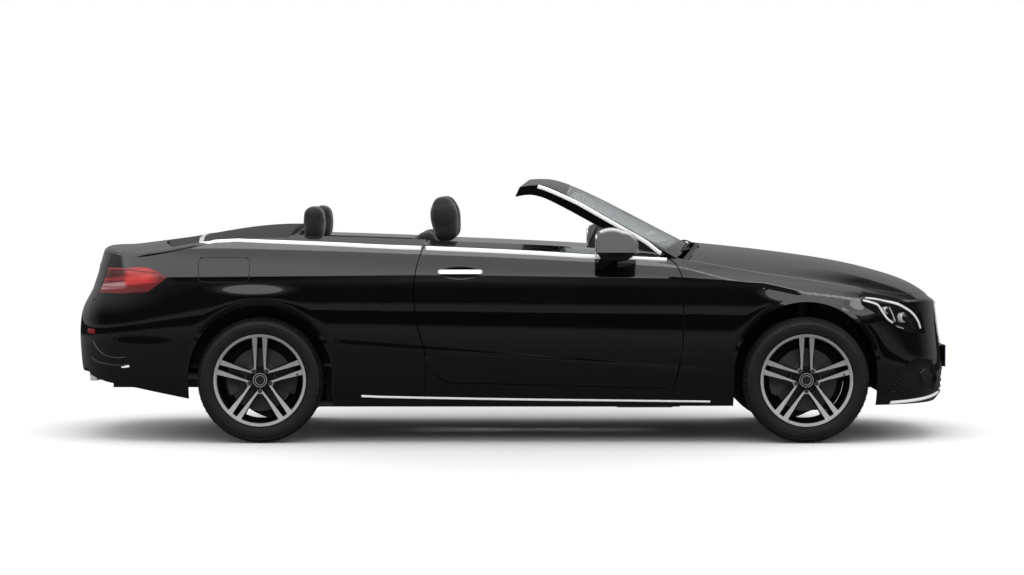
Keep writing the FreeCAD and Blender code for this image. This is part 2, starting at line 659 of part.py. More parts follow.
# ---- floor and inner structure --------------------------------------------------------------------
JACK_PAD_RADIUS, JACK_PAD_FACE = 35.0, 190.0
JACK_PADS = ((980.0, 700.0), (-860.0, 620.0))
TUNNEL_HALF, TUNNEL_TOP, TUNNEL_WALL = 112.0, 400.0, 16.0
SILL_SEAL_TOP = 340.0
FIREWALL_X = along(1080)
SEAT_WALL_X = along(-1110)


def tunnel_block(inset, low, x0, x1):
    """Transmission tunnel as a solid, its sides and roof moved in by the inset."""
    half, top = TUNNEL_HALF - inset, TUNNEL_TOP - inset
    return section_prism(((-half - 5, low), (-half, top - 45), (-half + 9, top - 9, -half + 32, top),
                          (half - 32, top), (half - 9, top - 9, half, top - 45), (half + 5, low)),
                         x0, x1)


def door_inner(z):
    """How far from the middle the inner face of a door lies at a height near the sill."""
    (outer, low), (inner, high) = DOOR_INNER[0], DOOR_INNER[1]
    return across(-(outer + (inner - outer) * (z - low) / (high - low)))


def floor():
    y_floor = across(743)
    low = FLOOR_TOP - FLOOR_THICKNESS
    plate = box(along(-960), along(1110), -y_floor, y_floor, low, FLOOR_TOP)
    tunnel = tunnel_block(0, low, along(-960), along(1080))
    inside = tunnel_block(TUNNEL_WALL, low - 5, along(-1000), along(1200))
    firewall = side_prism(((along(900), low), (FIREWALL_X, 420), (FIREWALL_X, 830),
                           (FIREWALL_X + 20, 830), (FIREWALL_X + 20, 410), (along(935), low)),
                          -across(490), across(490))
    toe = BODY.common(side_prism(((along(900), low), (FIREWALL_X, 420), (FIREWALL_X, 560),
                                  (FIREWALL_X + 20, 560), (FIREWALL_X + 20, 410),
                                  (along(935), low)), -y_floor, y_floor))
    hinge_post = BODY.common(box(DOOR_FRONT + 5, DOOR_FRONT + 90, -across(850), -across(560),
                                 low, 905))
    scuttle = BODY.common(box(along(930), FIREWALL_X + 20, -across(560), across(560), 800, 830))
    kick = BODY.common(box(DOOR_FRONT + 5, FIREWALL_X + 20, -across(760), -across(730), low, 905))
    back_step = side_prism(((along(-800), low), (along(-960), low), (along(-960), 380),
                            (SEAT_WALL_X, 400), (SEAT_WALL_X, 370), (along(-990), 350),
                            (along(-990), low - 10), (along(-800), low - 10)),
                           -across(600), across(600))
    pads = [both(cylinder(JACK_PAD_RADIUS, Vector(along(x), -across(y), JACK_PAD_FACE),
                          Vector(along(x), -across(y), low + 1))) for x, y in JACK_PADS]
    tub = fuse(plate.cut(inside), tunnel.cut(inside), firewall, toe, scuttle,
               both(hinge_post), both(kick), back_step, *pads)
    seal_y = door_inner(SILL_SEAL_TOP) - SEAT_GAP
    sill_seal = box(DOOR_REAR + 60, DOOR_FRONT - 90, -seal_y, 9 - seal_y, low, SILL_SEAL_TOP)
    tub = fuse(tub.cut([ARCHES, inside, DOOR_HOLE, BONNET_CLEAR]), both(sill_seal))
    for side in ("right", "left"):
        tub = tub.cut(NODES["side_frame_" + side])
        tub = tub.cut(NODES["fender_" + side])
    keep("floor_pan", biggest(tub.cut(NODES["cowl"])))


def front_structure():
    """Inner wings with wheel houses and strut towers, rails and the radiator panel."""
    wall = HOUSE_INNER_FRONT
    rail = box(FIREWALL_X + 21, along(2200), -wall + 60, -wall + 130, 400, 520)
    inner = box(FIREWALL_X + 21, along(1920), -wall, -wall + 16, 300, 800)
    house = arch_region(FRONT_AXLE, ARCH_RADIUS_FRONT, ARCH_LIFT_FRONT, wall, HOUSE_WALL)
    house = house.cut(ARCH_FRONT).common(CORE_CLEAR).common(
        box(-5000, 5000, -REACH, 0, TYRE_RADIUS - 60, 1200))
    tower = cylinder(62, Vector(FRONT_AXLE, -STRUT_Y, TOWER_FOOT), Vector(FRONT_AXLE, -STRUT_Y, 900))
    link = box(FIREWALL_X + 21, along(1920), -wall + 10, -wall + 70, 430, 500)
    cross = box(along(2140), along(2200), -wall + 60, wall - 60, 330, 660)
    cross = cross.cut(box(along(2100), along(2300), -330, 330, 380, 620))
    tow = cylinder(TOW_TUBE_RADIUS, TOW_MOUTH - Vector(90, 0, 0), TOW_MOUTH)
    bore = cylinder(TOW_THREAD_RADIUS, TOW_MOUTH - Vector(TOW_THREAD_LENGTH, 0, 0), TOW_MOUTH)
    frame = fuse(rail, other_side(rail), cross, tow).cut(bore).common(CORE_CLEAR)
    keep("front_frame", biggest(frame))
    wing = fuse(inner, house, tower, link).common(CORE_CLEAR).cut([BONNET_CLEAR, frame])
    keep("inner_wing_right", biggest(wing))
    keep("inner_wing_left", other_side(biggest(wing)))
    radiator = box(along(2105), along(2140) - SEAT_GAP, -345, 345, 335, 655)
    keep("radiator", radiator)


BONNET_CLEAR = plan_region(BONNET_OUTLINE, 100, 1500, SHUT_GAP).common(
    top_block(0).cut(top_block(SKIN + 12)))


def rear_structure():
    """Seat back wall, shelf under the folded roof, boot tub and tail panel."""
    y_tub = across(HOUSE_INNER_REAR - HOUSE_WALL - 1)
    wall = box(SEAT_WALL_X - 25, SEAT_WALL_X, -y_tub, y_tub, 371, 1075)
    middle = box(-5000, 5000, -across(FLANGE_SPLIT) + SEAT_GAP, across(FLANGE_SPLIT) - SEAT_GAP,
                 750, 1500)
    flanges = REAR_FLANGES.common(middle)
    deck = box(SEAT_WALL_X - 60, SEAT_WALL_X, -y_tub, y_tub, 1050, 1075)
    shelf = box(SEAT_WALL_X - 24, along(-1830), -y_tub, y_tub, 655, 675)
    bulk = box(along(-1850), along(-1830), -y_tub, y_tub, 655, 985)
    floor_low = box(SEAT_WALL_X - 24, along(-2190), -y_tub, y_tub, 375, 395)
    well = box(along(-1700), along(-2150), -330, 330, 255, 380)
    well = well.cut(box(along(-1715), along(-2135), -315, 315, 270, 500))
    tail = box(along(-2190), along(-2210), -across(560), across(560), 375, 720)
    cheek = box(along(-1000), along(-2190), -y_tub, -y_tub + 15, 375, 740)
    front_cheek = box(SEAT_WALL_X - 24, along(-1830), -y_tub, -y_tub + 15, 655, 985)
    tub = fuse(wall, shelf, bulk, floor_low.cut(box(along(-1715), along(-2135), -315, 315, 200, 500)),
               well, tail, both(cheek.common(box(-9000, SEAT_WALL_X, -9000, 9000, 0, 9000))),
               both(front_cheek))
    tub = fuse(tub, deck).common(CORE_LOW)
    tub = fuse(tub, flanges).cut([ARCHES, NODES["floor_pan"], NODES["rear_bumper"],
                                   *node_sides("rear_house")])
    keep("rear_structure", biggest(tub.cut([*node_sides("side_frame"), NODES["tail_lamps"]])))


CORE_LOW = body_block(SKIN + FLANGE_THICKNESS - 1)


# ---- cabin ----------------------------------------------------------------------------------------
CONSOLE_HALF = 76.0


def dashboard():
    profile = ((along(905), 800), (along(905), 880), (along(870), 950), (along(760), 985, along(640), 972),
               (along(590), 940, along(575), 880), (along(620), 780), (along(660), 700),
               (along(760), 640), (along(905), 640))
    body = side_prism(profile, -across(640), across(640))
    seat_z = TUNNEL_TOP + SEAT_GAP
    console = side_prism(((along(720), seat_z), (along(720), 700), (along(600), 690),
                          (along(420), 560), (along(-260), 545), (along(-330), seat_z)),
                         -CONSOLE_HALF, CONSOLE_HALF)
    hood = side_prism(((along(600), 960), (along(590), 1000, along(640), 1010), (along(760), 985),
                       (along(760), 940), (along(600), 930)), SEAT_CENTRE - 180, SEAT_CENTRE + 180)
    body = biggest(body.common(body_block(SKIN + 3)).cut(above_screen(SCREEN_DEPTH + 4)))
    column = cylinder(28, COLUMN_END, COLUMN_END + COLUMN_AXIS * -190)
    whole = fuse(body, console, hood, column)
    keep("dashboard", biggest(whole.cut([NODES["cowl"], NODES["floor_pan"]])))


COLUMN_TILT = math.radians(24)
COLUMN_AXIS = Vector(-math.cos(COLUMN_TILT), 0, math.sin(COLUMN_TILT))
WHEEL_CENTRE = Vector(along(415), SEAT_CENTRE, 955)
COLUMN_END = WHEEL_CENTRE + COLUMN_AXIS * -62


def steering_wheel():
    ring = Part.makeTorus(STEERING_RADIUS, STEERING_RIM, WHEEL_CENTRE, COLUMN_AXIS)
    hub = cylinder(62, WHEEL_CENTRE + COLUMN_AXIS * -40, WHEEL_CENTRE + COLUMN_AXIS * 8)
    across_bar = Part.makeBox(2 * STEERING_RADIUS - 8, 44, 14)
    across_bar.translate(Vector(-STEERING_RADIUS + 4, -22, -14))
    down_bar = Part.makeBox(40, STEERING_RADIUS - 4, 14)
    down_bar.translate(Vector(-20, -STEERING_RADIUS + 4, -14))
    spokes = across_bar.fuse(down_bar)
    turn = FreeCAD.Placement(WHEEL_CENTRE, FreeCAD.Rotation(
        Vector(0, -1, 0), Vector(math.sin(COLUMN_TILT), 0, math.cos(COLUMN_TILT)),
        COLUMN_AXIS, "ZXY"))
    spokes.Placement = turn
    stub = cylinder(20, COLUMN_END + COLUMN_AXIS * (SEAT_GAP), WHEEL_CENTRE)
    keep("steering_wheel", biggest(fuse(ring, hub, spokes, stub)))


def seat(centre):
    half = SEAT_WIDTH / 2
    x0 = along(-330)
    base = side_prism(((x0 + 60, FLOOR_TOP + 0.3), (x0 + 60, 330), (x0 + 480, 350),
                       (x0 + 480, FLOOR_TOP + 0.3)), centre - half + 60, centre + half - 60)
    cushion = side_prism(((x0, 420), (x0 + 20, 330, x0 + 80, 320), (x0 + 540, 350),
                          (x0 + 590, 380, x0 + 570, 460), (x0 + 560, 480), (x0 + 80, 430)),
                         centre - half, centre + half)
    back = side_prism(((x0 + 30, 400), (x0 + 110, 430), (x0 + 60, 700, x0 - 40, 1060),
                       (x0 - 60, 1128, x0 - 120, 1128), (x0 - 160, 1120, x0 - 150, 1050),
                       (x0 - 110, 700, x0 - 60, 400)), centre - half + 10, centre + half - 10)
    shoulder = box(x0 - 400, x0 + 200, centre - half - 50, centre + half + 50, 950, 1300)
    taper = section_prism(((centre - half + 10, 900), (centre - 190, 1100), (centre - 150, 1200),
                           (centre + 150, 1200), (centre + 190, 1100), (centre + half - 10, 900)),
                          x0 - 400, x0 + 200)
    back = back.cut(shoulder.cut(taper))
    head = side_prism(((x0 - 80, 1125), (x0 - 115, 1210, x0 - 65, 1262),
                       (x0 - 15, 1280, x0 + 20, 1252), (x0 + 50, 1190, x0 + 35, 1110),
                       (x0 - 5, 1062, x0 - 60, 1075)), centre - 125, centre + 125)
    head = head.fuse(box(x0 - 80, x0 - 64, centre - 60, centre - 48, 1040, 1120))
    head = head.fuse(box(x0 - 80, x0 - 64, centre + 48, centre + 60, 1040, 1120))
    return fuse(base, cushion, back, head)


def seats():
    keep("seat_left", biggest(seat(SEAT_CENTRE)))
    keep("seat_right", biggest(seat(-SEAT_CENTRE)))
    half = across(590)
    x0 = SEAT_WALL_X + 1
    bench = side_prism(((x0 + 10, 401), (x0 + 10, 500), (x0 + 110, 500), (x0 + 440, 470),
                        (x0 + 490, 440, x0 + 480, 300), (x0 + 400, 237), (x0 + 165, 237),
                        (x0 + 165, 401)), -half, half)
    back = side_prism(((x0, 440), (x0 + 170, 480), (x0 + 130, 700, x0 + 90, 1020),
                       (x0 + 60, 1072, x0, 1072)), -half, half)
    heads = []
    for centre in (-350, 350):
        head = side_prism(((x0 + 5, 1110), (x0 - 10, 1160, x0 + 15, 1222),
                           (x0 + 45, 1240, x0 + 75, 1222), (x0 + 100, 1160, x0 + 90, 1110),
                           (x0 + 60, 1088), (x0 + 30, 1088)), centre - 125, centre + 125)
        post = box(x0 + 38, x0 + 54, centre - 8, centre + 8, 1060, 1100)
        heads += [head, post]
    hump = tunnel_block(-SEAT_GAP, 100, -5000, 5000)
    sofa = fuse(bench, back, *heads).cut([hump, *node_sides("side_frame")])
    sofa = sofa.cut([NODES["floor_pan"], NODES["rear_structure"]])
    keep("rear_seat", biggest(sofa))


def folded_roof():
    """Soft top packed in its well, as one padded bundle."""
    x1, x0 = SEAT_WALL_X - 60, along(-1815)
    bundle = side_prism(((x0, 700), (x0, 850), ((x0 + x1) / 2, 985, x1 - 20, 1010),
                         (x1, 960, x1, 900), (x1, 675 + SEAT_GAP), (x0 + 40, 675 + SEAT_GAP)),
                         -across(585), across(585))
    keep("folded_roof", biggest(bundle.common(body_block(SKIN + 30))))


# ---- running gear -----------------------------------------------------------------------------------
def revolve_y(points, axle_z):
    """Turns a section about the wheel's axis. Each entry ends in y, radius."""
    profile = Part.Face(wire(points, lambda y, r: Vector(0, y, r)))
    solid = profile.revolve(Vector(0, 0, 0), Vector(0, 1, 0), 360)
    solid.translate(Vector(0, 0, axle_z))
    return solid


def tyre_shape():
    half = TYRE_WIDTH / 2
    bead = RIM_RADIUS - BEAD_DROP
    top = TYRE_RADIUS
    wide = bead + (top - bead) * 0.45
    seat = half - RIM_INSET - FLANGE_WIDTH - SEAT_GAP
    foot, rise = bead + BEAD_GAP, RIM_RADIUS + 1
    points = ((-seat, foot), (-seat, rise), (-half, wide - 2, -half + 14, top - 14),
              (-half + 22, top - 4, -half + 36, top - 1.5), (0, top, half - 36, top - 1.5),
              (half - 22, top - 4, half - 14, top - 14), (half, wide - 2, seat, rise), (seat, foot),
              (half - 30, foot), (half - 14, wide - 8, half - 32, top - 22),
              (0, top - 14, -half + 32, top - 22), (-half + 14, wide - 8, -half + 30, foot))
    return revolve_y(points, TYRE_RADIUS)


def spoke_section(side, half, face, depth, radius):
    """Outline of one bar at a radius, square to it."""
    near, far = side * (SPOKE_OFFSET - half), side * (SPOKE_OFFSET + half)
    return Part.makePolygon([Vector(near, face, radius), Vector(far, face, radius),
                             Vector(far, face - depth, radius), Vector(near, face - depth, radius),
                             Vector(near, face, radius)])


def rim_shape():
    """Five pairs of bars between a drop-centre barrel and the hub; the outer face looks to +Y."""
    half = TYRE_WIDTH / 2
    bead = RIM_RADIUS - BEAD_DROP
    lip = RIM_RADIUS
    out = half - RIM_INSET
    flange = out - FLANGE_WIDTH
    barrel = revolve_y(((-out, lip), (-flange, lip), (-flange, bead), (-out + 40, bead - 1),
                        (-30, bead - 16), (10, bead - 16), (out - 34, bead - 1), (flange, bead),
                        (flange, lip), (out, lip), (out, lip - RIM_LIP), (out - 12, lip - RIM_LIP - 6),
                        (10, bead - 26), (-30, bead - 26), (-out + 30, bead - 10), (-out, lip - 22)),
                       0)
    face = out - 6
    dish = 16.0
    plate = revolve_y(((face - dish - 36, 0), (face - dish - 36, 74), (face - dish - 10, 72),
                       (face - dish - 10, 44), (face - dish, 40), (face - dish, 0)), 0)
    bars = []
    reach = lip - RIM_LIP - 2
    inside_bead = cylinder(bead - 1, Vector(0, -half, 0), Vector(0, half, 0))
    for pair in range(SPOKE_PAIRS):
        for side in (-1, 1):
            inner = spoke_section(side, SPOKE_HALF_HUB, face - dish, SPOKE_DEPTH_HUB, SPOKE_START)
            outer = spoke_section(side, SPOKE_HALF_RIM, face, SPOKE_DEPTH_RIM, reach)
            bar = Part.makeLoft([inner, outer], True, True)
            bar.rotate(Vector(0, 0, 0), Vector(0, 1, 0), pair * 360 / SPOKE_PAIRS)
            bars.append(bar.common(inside_bead))
    wheel = barrel.fuse([plate] + bars)
    drills = [cylinder(HUB_BORE, Vector(0, face - dish - 40, 0), Vector(0, face - dish - 14, 0))]
    for bolt in range(SPOKE_PAIRS):
        angle = math.radians(36 + bolt * 360 / SPOKE_PAIRS)
        x, z = BOLT_CIRCLE / 2 * math.sin(angle), BOLT_CIRCLE / 2 * math.cos(angle)
        drills.append(cylinder(BOLT_HOLE, Vector(x, -out, z), Vector(x, out, z)))
        drills.append(cylinder(BOLT_HOLE + 5, Vector(x, face - dish - 16, z), Vector(x, out, z)))
    wheel = biggest(wheel.cut(drills))
    wheel.translate(Vector(0, 0, TYRE_RADIUS))
    return wheel, face - dish - 36


def disc_shape(mount_face):
    """Vented brake disc with its hat, hub flange and five studs."""
    hat = mount_face
    rear = hat - 62
    disc = revolve_y(((rear, DISC_RADIUS), (rear + DISC_THICKNESS, DISC_RADIUS),
                      (rear + DISC_THICKNESS, 88), (hat, 84), (hat, SPINDLE_RADIUS + 8),
                      (hat + 18, HUB_BORE - 0.5), (hat + 18, SPINDLE_RADIUS - 6),
                      (hat + 2, SPINDLE_RADIUS - 6), (hat + 2, SPINDLE_RADIUS + PIN_CLEARANCE),
                      (rear - 6, SPINDLE_RADIUS + PIN_CLEARANCE), (rear - 6, 60), (hat - 20, 60),
                      (hat - 20, 74), (rear, 82)), 0)
    studs = []
    for bolt in range(SPOKE_PAIRS):
        angle = math.radians(36 + bolt * 360 / SPOKE_PAIRS)
        x, z = BOLT_CIRCLE / 2 * math.sin(angle), BOLT_CIRCLE / 2 * math.cos(angle)
        studs.append(cylinder(BOLT_HOLE - 0.8, Vector(x, hat - 8, z), Vector(x, hat + 34, z)))
    whole = disc.fuse(studs)
    whole.translate(Vector(0, 0, TYRE_RADIUS))
    return biggest(whole)


def knuckle_shape(mount_face, steered):
    """Hub carrier with its spindle, arms to the ball joints and a brake caliper; outer side +Y."""
    rear = mount_face - 62
    spindle = cylinder(SPINDLE_RADIUS, Vector(0, rear - 60, 0), Vector(0, mount_face - 2, 0))
    spindle = spindle.fuse(cylinder(SPINDLE_RADIUS - 12, Vector(0, mount_face - 4, 0),
                                    Vector(0, mount_face + 0.5, 0)))
    carrier = cylinder(52, Vector(0, rear - 62, 0), Vector(0, rear - 6 - RUN_GAP, 0))
    upright = box(-24, 24, rear - 60, rear - 20, -BALL_REACH + 8, BALL_REACH - 8)
    top_ball = cylinder(20, Vector(0, rear - 40, BALL_REACH - 20), Vector(0, rear - 40, BALL_REACH))
    low_ball = cylinder(20, Vector(0, rear - 40, -BALL_REACH), Vector(0, rear - 40, 20 - BALL_REACH))
    outer_face = rear + DISC_THICKNESS + RUN_GAP
    reach = DISC_RADIUS + 26
    ring = Part.makeCylinder(reach, outer_face + 14 - (rear - RUN_GAP - 30),
                             Vector(0, rear - RUN_GAP - 30, 0), Vector(0, 1, 0))
    ring = ring.cut(Part.makeCylinder(96, 300, Vector(0, rear - 100, 0), Vector(0, 1, 0)))
    gap = Part.makeCylinder(DISC_RADIUS + RUN_GAP, DISC_THICKNESS + 2 * RUN_GAP,
                            Vector(0, rear - RUN_GAP, 0), Vector(0, 1, 0))
    side = -1 if steered else 1
    wedge = side_prism(((0, 0), (side * 260, -115), (side * 260, 115)), rear - 80, outer_face + 60)
    caliper = ring.cut(gap).common(wedge)
    bracket = box(0, side * 130, rear - 36, rear - 20, -30, 30)
    whole = fuse(spindle, carrier, upright, top_ball, low_ball, caliper, bracket)
    whole.translate(Vector(0, 0, TYRE_RADIUS))
    return biggest(whole), rear - 40


def wheels():
    tyre = tyre_shape()
    rim, mount_face = rim_shape()
    disc = disc_shape(mount_face)
    for axle_name, axle, track in (("front", FRONT_AXLE, TRACK_FRONT),
                                   ("rear", REAR_AXLE, TRACK_REAR)):
        for name, shape in (("tyre", tyre), ("rim", rim), ("brake_disc", disc)):
            left = shape.copy()
            left.translate(Vector(axle, track / 2, 0))
            keep(f"{name}_{axle_name}_left", left)
            keep(f"{name}_{axle_name}_right", other_side(left))
    knuckle, ball = knuckle_shape(mount_face, True)
    knuckle.translate(Vector(FRONT_AXLE, TRACK_FRONT / 2, 0))
    keep("knuckle_left", knuckle)
    keep("knuckle_right", other_side(knuckle))
    return mount_face, ball


def suspension(mount_face, ball):
    """Subframes, lower and upper arms and struts; the rear ones carry the rear hub carriers."""
    ball_y = TRACK_FRONT / 2 + ball
    low = TYRE_RADIUS - BALL_REACH - SEAT_GAP
    parts = []
    arm = plan_prism(((FRONT_AXLE - 28, ball_y), (FRONT_AXLE - 22, ball_y + 24),
                      (FRONT_AXLE + 22, ball_y + 24), (FRONT_AXLE + 28, ball_y),
                      (FRONT_AXLE + 50, ball_y - 120), (FRONT_AXLE + 150, 370),
                      (FRONT_AXLE - 150, 370)), low - 22, low)
    upper = TYRE_RADIUS + BALL_REACH + SEAT_GAP
    post = cylinder(26, Vector(FRONT_AXLE, STRUT_Y, low - 10),
                    Vector(FRONT_AXLE, STRUT_Y, TOWER_FOOT - SEAT_GAP))
    link = plan_prism(((FRONT_AXLE - 20, ball_y + 20), (FRONT_AXLE + 20, ball_y + 20),
                       (FRONT_AXLE + 26, STRUT_Y), (FRONT_AXLE - 26, STRUT_Y)), upper, upper + 20)
    bar = box(FRONT_AXLE - 170, FRONT_AXLE + 170, 340, 400, low - 40, low + 60)
    riser = box(FRONT_AXLE - 40, FRONT_AXLE + 40, 372, 436, low + 50, 402)
    one = fuse(arm, post, link, bar, riser)
    cross = box(FRONT_AXLE - 120, FRONT_AXLE + 60, -345, 345, low - 40, low + 20)
    whole = fuse(one, other_side(one), cross)
    whole = whole.cut([NODES["front_frame"], *node_sides("inner_wing")])
    keep("front_suspension", biggest(whole))
    carrier, ball = knuckle_shape(mount_face, False)
    carrier.translate(Vector(REAR_AXLE, TRACK_REAR / 2, 0))
    rear_y = TRACK_REAR / 2 + ball
    arm = plan_prism(((REAR_AXLE - 30, rear_y + 20), (REAR_AXLE + 30, rear_y + 20),
                      (REAR_AXLE + 170, 380), (REAR_AXLE - 130, 380)),
                     TYRE_RADIUS - BALL_REACH - 12, TYRE_RADIUS - BALL_REACH + 14)
    upper = plan_prism(((REAR_AXLE - 22, rear_y + 20), (REAR_AXLE + 22, rear_y + 20),
                        (REAR_AXLE + 40, 400), (REAR_AXLE - 40, 400)),
                       TYRE_RADIUS + 20, TYRE_RADIUS + 40)
    half_shaft = cylinder(16, Vector(REAR_AXLE, 100, TYRE_RADIUS), Vector(REAR_AXLE, rear_y, TYRE_RADIUS))
    bar = box(REAR_AXLE - 200, REAR_AXLE + 190, 350, 410, 150, 374)
    one = fuse(carrier, arm, upper, half_shaft, bar)
    case = cylinder(105, Vector(REAR_AXLE, -110, TYRE_RADIUS - 70), Vector(REAR_AXLE, 110, TYRE_RADIUS - 70))
    cross = box(REAR_AXLE + 60, REAR_AXLE + 130, -380, 380, 212, 300)
    whole = fuse(one, other_side(one), case, cross)
    whole = whole.cut([NODES["rear_structure"], NODES["floor_pan"]])
    keep("rear_suspension", biggest(whole))


def drivetrain():
    engine = box(along(1130), along(1760), -260, 260, 300, 790)
    half = TUNNEL_HALF - TUNNEL_WALL - 8
    gearbox = box(along(640), along(1130), -half, half, 215, TUNNEL_TOP - 55)
    shaft = cylinder(38, Vector(REAR_AXLE + 210, 0, 290), Vector(along(640), 0, 290))
    beam_top = TYRE_RADIUS - BALL_REACH - SEAT_GAP + 20
    feet = both(box(FRONT_AXLE - 90, FRONT_AXLE + 30, 190, 250, beam_top + SEAT_GAP, 310))
    whole = fuse(engine, gearbox, shaft, feet).cut([NODES["floor_pan"], NODES["front_suspension"],
                                              NODES["rear_suspension"], NODES["front_frame"],
                                              *node_sides("inner_wing")])
    keep("engine", biggest(whole))


EXHAUST_RADIUS = 30.0


CATALYST_RADIUS, CATALYST_DROP = 30.0, 4.0


def exhaust():
    """One pipe under the floor, over to the silencer beside the spare-wheel well."""
    low = FLOOR_TOP - FLOOR_THICKNESS - EXHAUST_RADIUS - SEAT_GAP
    route = (Vector(along(900), -250, low), Vector(along(-1440), -250, low),
             Vector(along(-1590), -262, 330), Vector(along(-1650), -300, 338),
             Vector(along(-1655), -450, 338), Vector(along(-1760), -470, 338))
    runs = [cylinder(EXHAUST_RADIUS, a, b) for a, b in zip(route, route[1:])]
    bends = [Part.makeSphere(EXHAUST_RADIUS, point) for point in route[1:-1]]
    silencer = box(along(-2110), along(-1740), -590, -345, 300, 375 - SEAT_GAP)
    catalyst = cylinder(CATALYST_RADIUS, Vector(along(560), -250, low - CATALYST_DROP),
                        Vector(along(860), -250, low - CATALYST_DROP))
    tip = tail_pipe(0, along(-2232), along(-2108))
    tip = tip.cut(tail_pipe(-TAIL_PIPE_WALL, along(-2400), along(-2112)))
    whole = fuse(*runs, *bends, silencer, catalyst, tip)
    keep("exhaust", biggest(whole.cut([NODES["floor_pan"], NODES["rear_structure"],
                                       NODES["rear_suspension"], NODES["front_suspension"]])))


def mirrors():
    """Door mirror: a shell on a foot that stands on the door's shoulder."""
    x0, y0 = along(535), -across(958)
    shell = side_prism(((x0 - 100, 985), (x0 - 108, 1050, x0 - 95, 1105), (x0 - 40, 1122, x0 + 30, 1108),
                        (x0 + 95, 1075, x0 + 103, 1000), (x0 + 60, 960, x0 - 10, 948),
                        (x0 - 70, 950)), y0 - 62, y0 + 78)
    shell = shell.makeFillet(24, [edge for edge in shell.Edges
                                  if edge.BoundBox.YLength < 1 and edge.BoundBox.YMin < y0])
    foot = side_prism(((x0 - 110, 905), (x0 - 80, 975), (x0 - 30, 990), (x0 + 10, 975), (x0 - 60, 905)),
                      y0 + 60, y0 + 160)
    mirror = fuse(shell, foot).cut(NODES["door_right"])
    mirror = biggest(mirror)
    keep("mirror_right", mirror)
    keep("mirror_left", other_side(mirror))


def build():
    bonnet()
    lids()
    doors()
    side_frames()
    fenders()
    front_end()
    lamps()
    rear_bumper()
    windscreen()
    cowl()
    floor()
    front_structure()
    rear_structure()
    dashboard()
    steering_wheel()
    seats()
    folded_roof()
    mount_face, ball = wheels()
    suspension(mount_face, ball)
    drivetrain()
    exhaust()
    mirrors()
    for name, shape in NODES.items():
        shape.exportStep(f"parts/{name}.step")


build()
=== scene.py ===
"""Visual pieces of the two-door open car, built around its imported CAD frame.

Metres, +X forward, +Y to the car's left, +Z up. Every piece sits in the frame's own axes.
"""

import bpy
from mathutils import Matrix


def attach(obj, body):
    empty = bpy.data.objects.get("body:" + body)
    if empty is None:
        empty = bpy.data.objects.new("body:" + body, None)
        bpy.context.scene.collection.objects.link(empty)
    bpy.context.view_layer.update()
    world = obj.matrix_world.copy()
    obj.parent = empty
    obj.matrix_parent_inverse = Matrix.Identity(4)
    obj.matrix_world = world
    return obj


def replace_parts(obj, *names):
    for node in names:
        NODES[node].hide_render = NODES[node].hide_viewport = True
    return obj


bl_info = {
    "name": "Open Car Pieces",
    "version": (1, 0, 0),
    "blender": (4, 5, 0),
    "location": "3D View > Sidebar > Open Car",
    "description": "Paint, lamps, trim, wheels, seats and cabin of a two-door open car",
    "category": "Add Mesh",
}

import math

import bmesh
import bpy
import numpy as np
from mathutils import Matrix, Vector
from mathutils.bvhtree import BVHTree

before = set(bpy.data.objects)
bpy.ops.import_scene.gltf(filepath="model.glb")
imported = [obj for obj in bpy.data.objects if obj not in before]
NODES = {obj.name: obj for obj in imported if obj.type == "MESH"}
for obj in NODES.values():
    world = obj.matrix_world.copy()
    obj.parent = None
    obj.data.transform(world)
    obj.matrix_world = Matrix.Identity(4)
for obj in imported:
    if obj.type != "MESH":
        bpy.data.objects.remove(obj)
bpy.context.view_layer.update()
SIDES = (("right", -1), ("left", 1))
FORWARD, BACKWARD, DOWN = (1, 0, 0), (-1, 0, 0), (0, 0, -1)
FRONT_AXLE, REAR_AXLE = 1.523, -1.317
WHEELS = (
    # place, axle x, side, middle of the tyre y
    ("front_right", FRONT_AXLE, -1, 0.794), ("front_left", FRONT_AXLE, 1, 0.794),
    ("rear_right", REAR_AXLE, -1, 0.785), ("rear_left", REAR_AXLE, 1, 0.785),
)
TYRE_RADIUS = 0.328


def both(name):
    return f"{name}_right", f"{name}_left"


def each_wheel(name):
    return tuple(f"{name}_{wheel[0]}" for wheel in WHEELS)


PAINTED = ("bonnet", "tonneau_lid", "boot_lid", *both("door"), *both("side_frame"),
           *both("fender"), "front_bumper", "rear_bumper", "windscreen_frame", *both("mirror"))


# ---- settings ----
class CarFinish(bpy.types.PropertyGroup):
    """Colours and sizes that can be changed before the pieces are made."""
    paint: bpy.props.FloatVectorProperty(
        name="Paint", description="Colour of the body paint", subtype="COLOR", size=4,
        min=0, max=1, default=(0.0009, 0.0009, 0.0011, 1))
    fabric: bpy.props.FloatVectorProperty(
        name="Seat Cover", description="Colour of the seat cover", subtype="COLOR", size=4,
        min=0, max=1, default=(0.011, 0.011, 0.012, 1))
    rim: bpy.props.FloatVectorProperty(
        name="Machined Rim", description="Colour of the machined wheel faces", subtype="COLOR",
        size=4, min=0, max=1, default=(0.52, 0.52, 0.53, 1))
    strip_height: bpy.props.FloatProperty(
        name="Belt Strip", description="Height of the bright strip along the belt",
        unit="LENGTH", default=0.025, min=0.01, max=0.05)
    cushion_swell: bpy.props.FloatProperty(
        name="Cushion Swell", description="Furthest that a cushion's cover may swell",
        unit="LENGTH", default=0.014, min=0, max=0.03)


def settings():
    return bpy.context.scene.car_finish


# ---- shader helpers ----
MASK_AND_NORMAL = (("Mask", "NodeSocketFloat"), ("Normal", "NodeSocketVector"))
FADE = ((0, 0.0), (1, 1.0))


